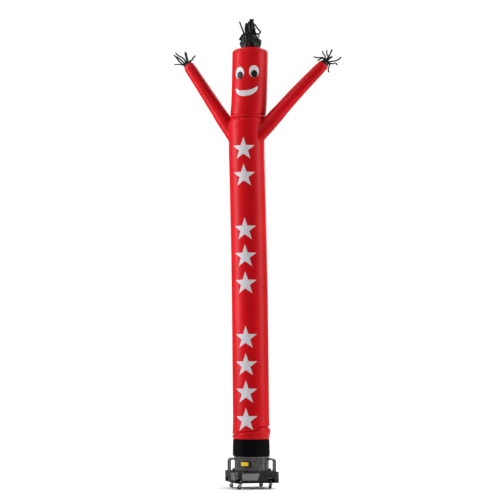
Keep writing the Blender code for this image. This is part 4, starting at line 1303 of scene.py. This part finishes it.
dress(housingPaint, "blower_housing", "caster_frame")
dress(drumLook(), "fan_drum")
dress(plateLook(), "rating_plate")
dress(guardWire, "guard_front", "guard_back", "guard_right")
dress(guardShade, "guard_left")
dress(railMetal, "rail_left_front", "rail_left_back", "rail_right_front", "rail_right_back",
      "bracket_left", "bracket_right")
dress(bodyNylon, "body_tube")
dress(headNylon, "head_tube")
dress(crownNylon, "crown")
dress(armNylon, "arm_left", "arm_right")
dress(blackNylon, "base_sleeve")
dress(pupilNylon, "pupil_left", "pupil_right")
dress(whiteNylon, "eye_left", "eye_right", "mouth")
dress(streamerNylon, "hair_collar", "hair", "cuff_left", "hand_left", "cuff_right", "hand_right")
for corner in casters:
    dress(boltZincPaintedGlint, "nut_" + corner)
    dress(forkMetal, "fork_" + corner)
    dress(rubberBlack, "wheel_" + corner)
print("frame painted")

# Studio: a round pale floor, with nothing behind it but white
studio = {
    "dark": (0.925, 0.925, 0.925),
    "light": (0.945, 0.945, 0.945),
    "middle": 1.0,
    "reach": 6.0,
    "sides": 96,
    "shown": 1.03,      # what the camera sees past the floor
    "fill": 0.20,       # what lights the figure from all round
}


def addFloor():
    place, _, wire = newLook("studioPaint", 0.15)
    tone = place.noise(0.7, 2.0).blended(studio["dark"], studio["light"])
    middle, reach, sides = studio["middle"], studio["reach"], studio["sides"]
    points = [(0.0, middle, 0.0)]
    for side in range(sides):
        angle = fullTurn * side / sides
        points.append((reach * math.cos(angle), middle + reach * math.sin(angle), 0.0))
    faces = [(0, 1 + side, 1 + (side + 1) % sides) for side in range(sides)]
    mesh = bpy.data.meshes.new("studioFloor")
    mesh.from_pydata(points, [], faces)
    mesh.materials.append(wire(Base_Color=tone, Roughness=0.75))
    floor = bpy.data.objects.new("studioFloor", mesh)
    bpy.context.scene.collection.objects.link(floor)


def addSurround():
    world = bpy.data.worlds.new("studioWorld")
    world.use_nodes = True
    nodes, links = world.node_tree.nodes, world.node_tree.links
    fill = nodes["Background"]
    fill.inputs["Color"].default_value = (1.0, 1.0, 1.0, 1.0)
    fill.inputs["Strength"].default_value = studio["fill"]
    shown = nodes.new("ShaderNodeBackground")
    shown.inputs["Color"].default_value = (1.0, 1.0, 1.0, 1.0)
    shown.inputs["Strength"].default_value = studio["shown"]
    path, mix = nodes.new("ShaderNodeLightPath"), nodes.new("ShaderNodeMixShader")
    links.new(path.outputs["Is Camera Ray"], mix.inputs["Fac"])
    links.new(fill.outputs["Background"], mix.inputs[1])
    links.new(shown.outputs["Background"], mix.inputs[2])
    links.new(mix.outputs["Shader"], nodes["World Output"].inputs["Surface"])
    bpy.context.scene.world = world


addFloor()
addSurround()

# Tall soft boxes: name, place, target, width, height, power, spread in degrees, colour
lights = (
    ("softLeft", (-6.0, -1.9, 4.3), (0.0, 0.0, 3.7), 2.4, 6.6, 172.0, 80.0, (1.0, 0.90, 1.0)),
    ("softRight", (6.0, -0.1, 5.6), (0.0, 0.0, 4.6), 2.0, 9.2, 560.0, 180.0, (1.0, 1.0, 1.0)),
    ("softFront", (1.0, -11.0, 8.5), (0.0, 0.0, 4.2), 5.0, 4.0, 95.0, 180.0, (1.0, 1.0, 1.0)),
    ("softHigh", (-2.4, -4.6, 10.4), (0.0, 0.0, 4.8), 3.0, 3.0, 240.0, 180.0, (1.0, 1.0, 1.0)),
    ("softTop", (0.0, 5.4, 9.8), (0.0, 4.6, 0.0), 12.0, 6.2, 950.0, 180.0, (1.0, 1.0, 1.0)),
    ("softBack", (1.5, 9.5, 6.0), (0.0, 0.0, 3.0), 5.0, 5.0, 260.0, 180.0, (1.0, 1.0, 1.0)),
)
for name, spot, target, width, height, power, spread, colour in lights:
    data = bpy.data.lights.new(name, "AREA")
    data.shape = "RECTANGLE"
    data.size, data.size_y, data.energy, data.color = width, height, power, colour
    data.spread = math.radians(spread)
    lamp = bpy.data.objects.new(name, data)
    lamp.location = spot
    lamp.rotation_euler = (Vector(target) - Vector(spot)).to_track_quat("-Z", "Y").to_euler()
    bpy.context.scene.collection.objects.link(lamp)
bpy.context.scene.view_settings.view_transform = "Standard"

# Camera: a long lens from far off, a little to the right and at chest height
camera = {
    "azimuth": 9.5,
    "distance": 20.0,
    "height": 1.45,
    "tilt": 4.425,
    "aside": -0.0220,
    "lens": 113.724,
}


def addCamera():
    turn, tilt = math.radians(camera["azimuth"]), math.radians(camera["tilt"])
    right = Vector((math.cos(turn), math.sin(turn), 0.0))
    away = Vector((-math.sin(turn), math.cos(turn), 0.0))
    data = bpy.data.cameras.new("studioCamera")
    data.lens = camera["lens"]
    data.sensor_width = 36.0
    made = bpy.data.objects.new("studioCamera", data)
    made.location = (Vector((tube["footX"], 0.0, camera["height"])) + right * camera["aside"]
                     - away * camera["distance"])
    look = away * math.cos(tilt) + Vector((0.0, 0.0, math.sin(tilt)))
    made.rotation_euler = look.to_track_quat("-Z", "Y").to_euler()
    bpy.context.scene.collection.objects.link(made)
    bpy.context.scene.camera = made


addCamera()
print("studio lit")
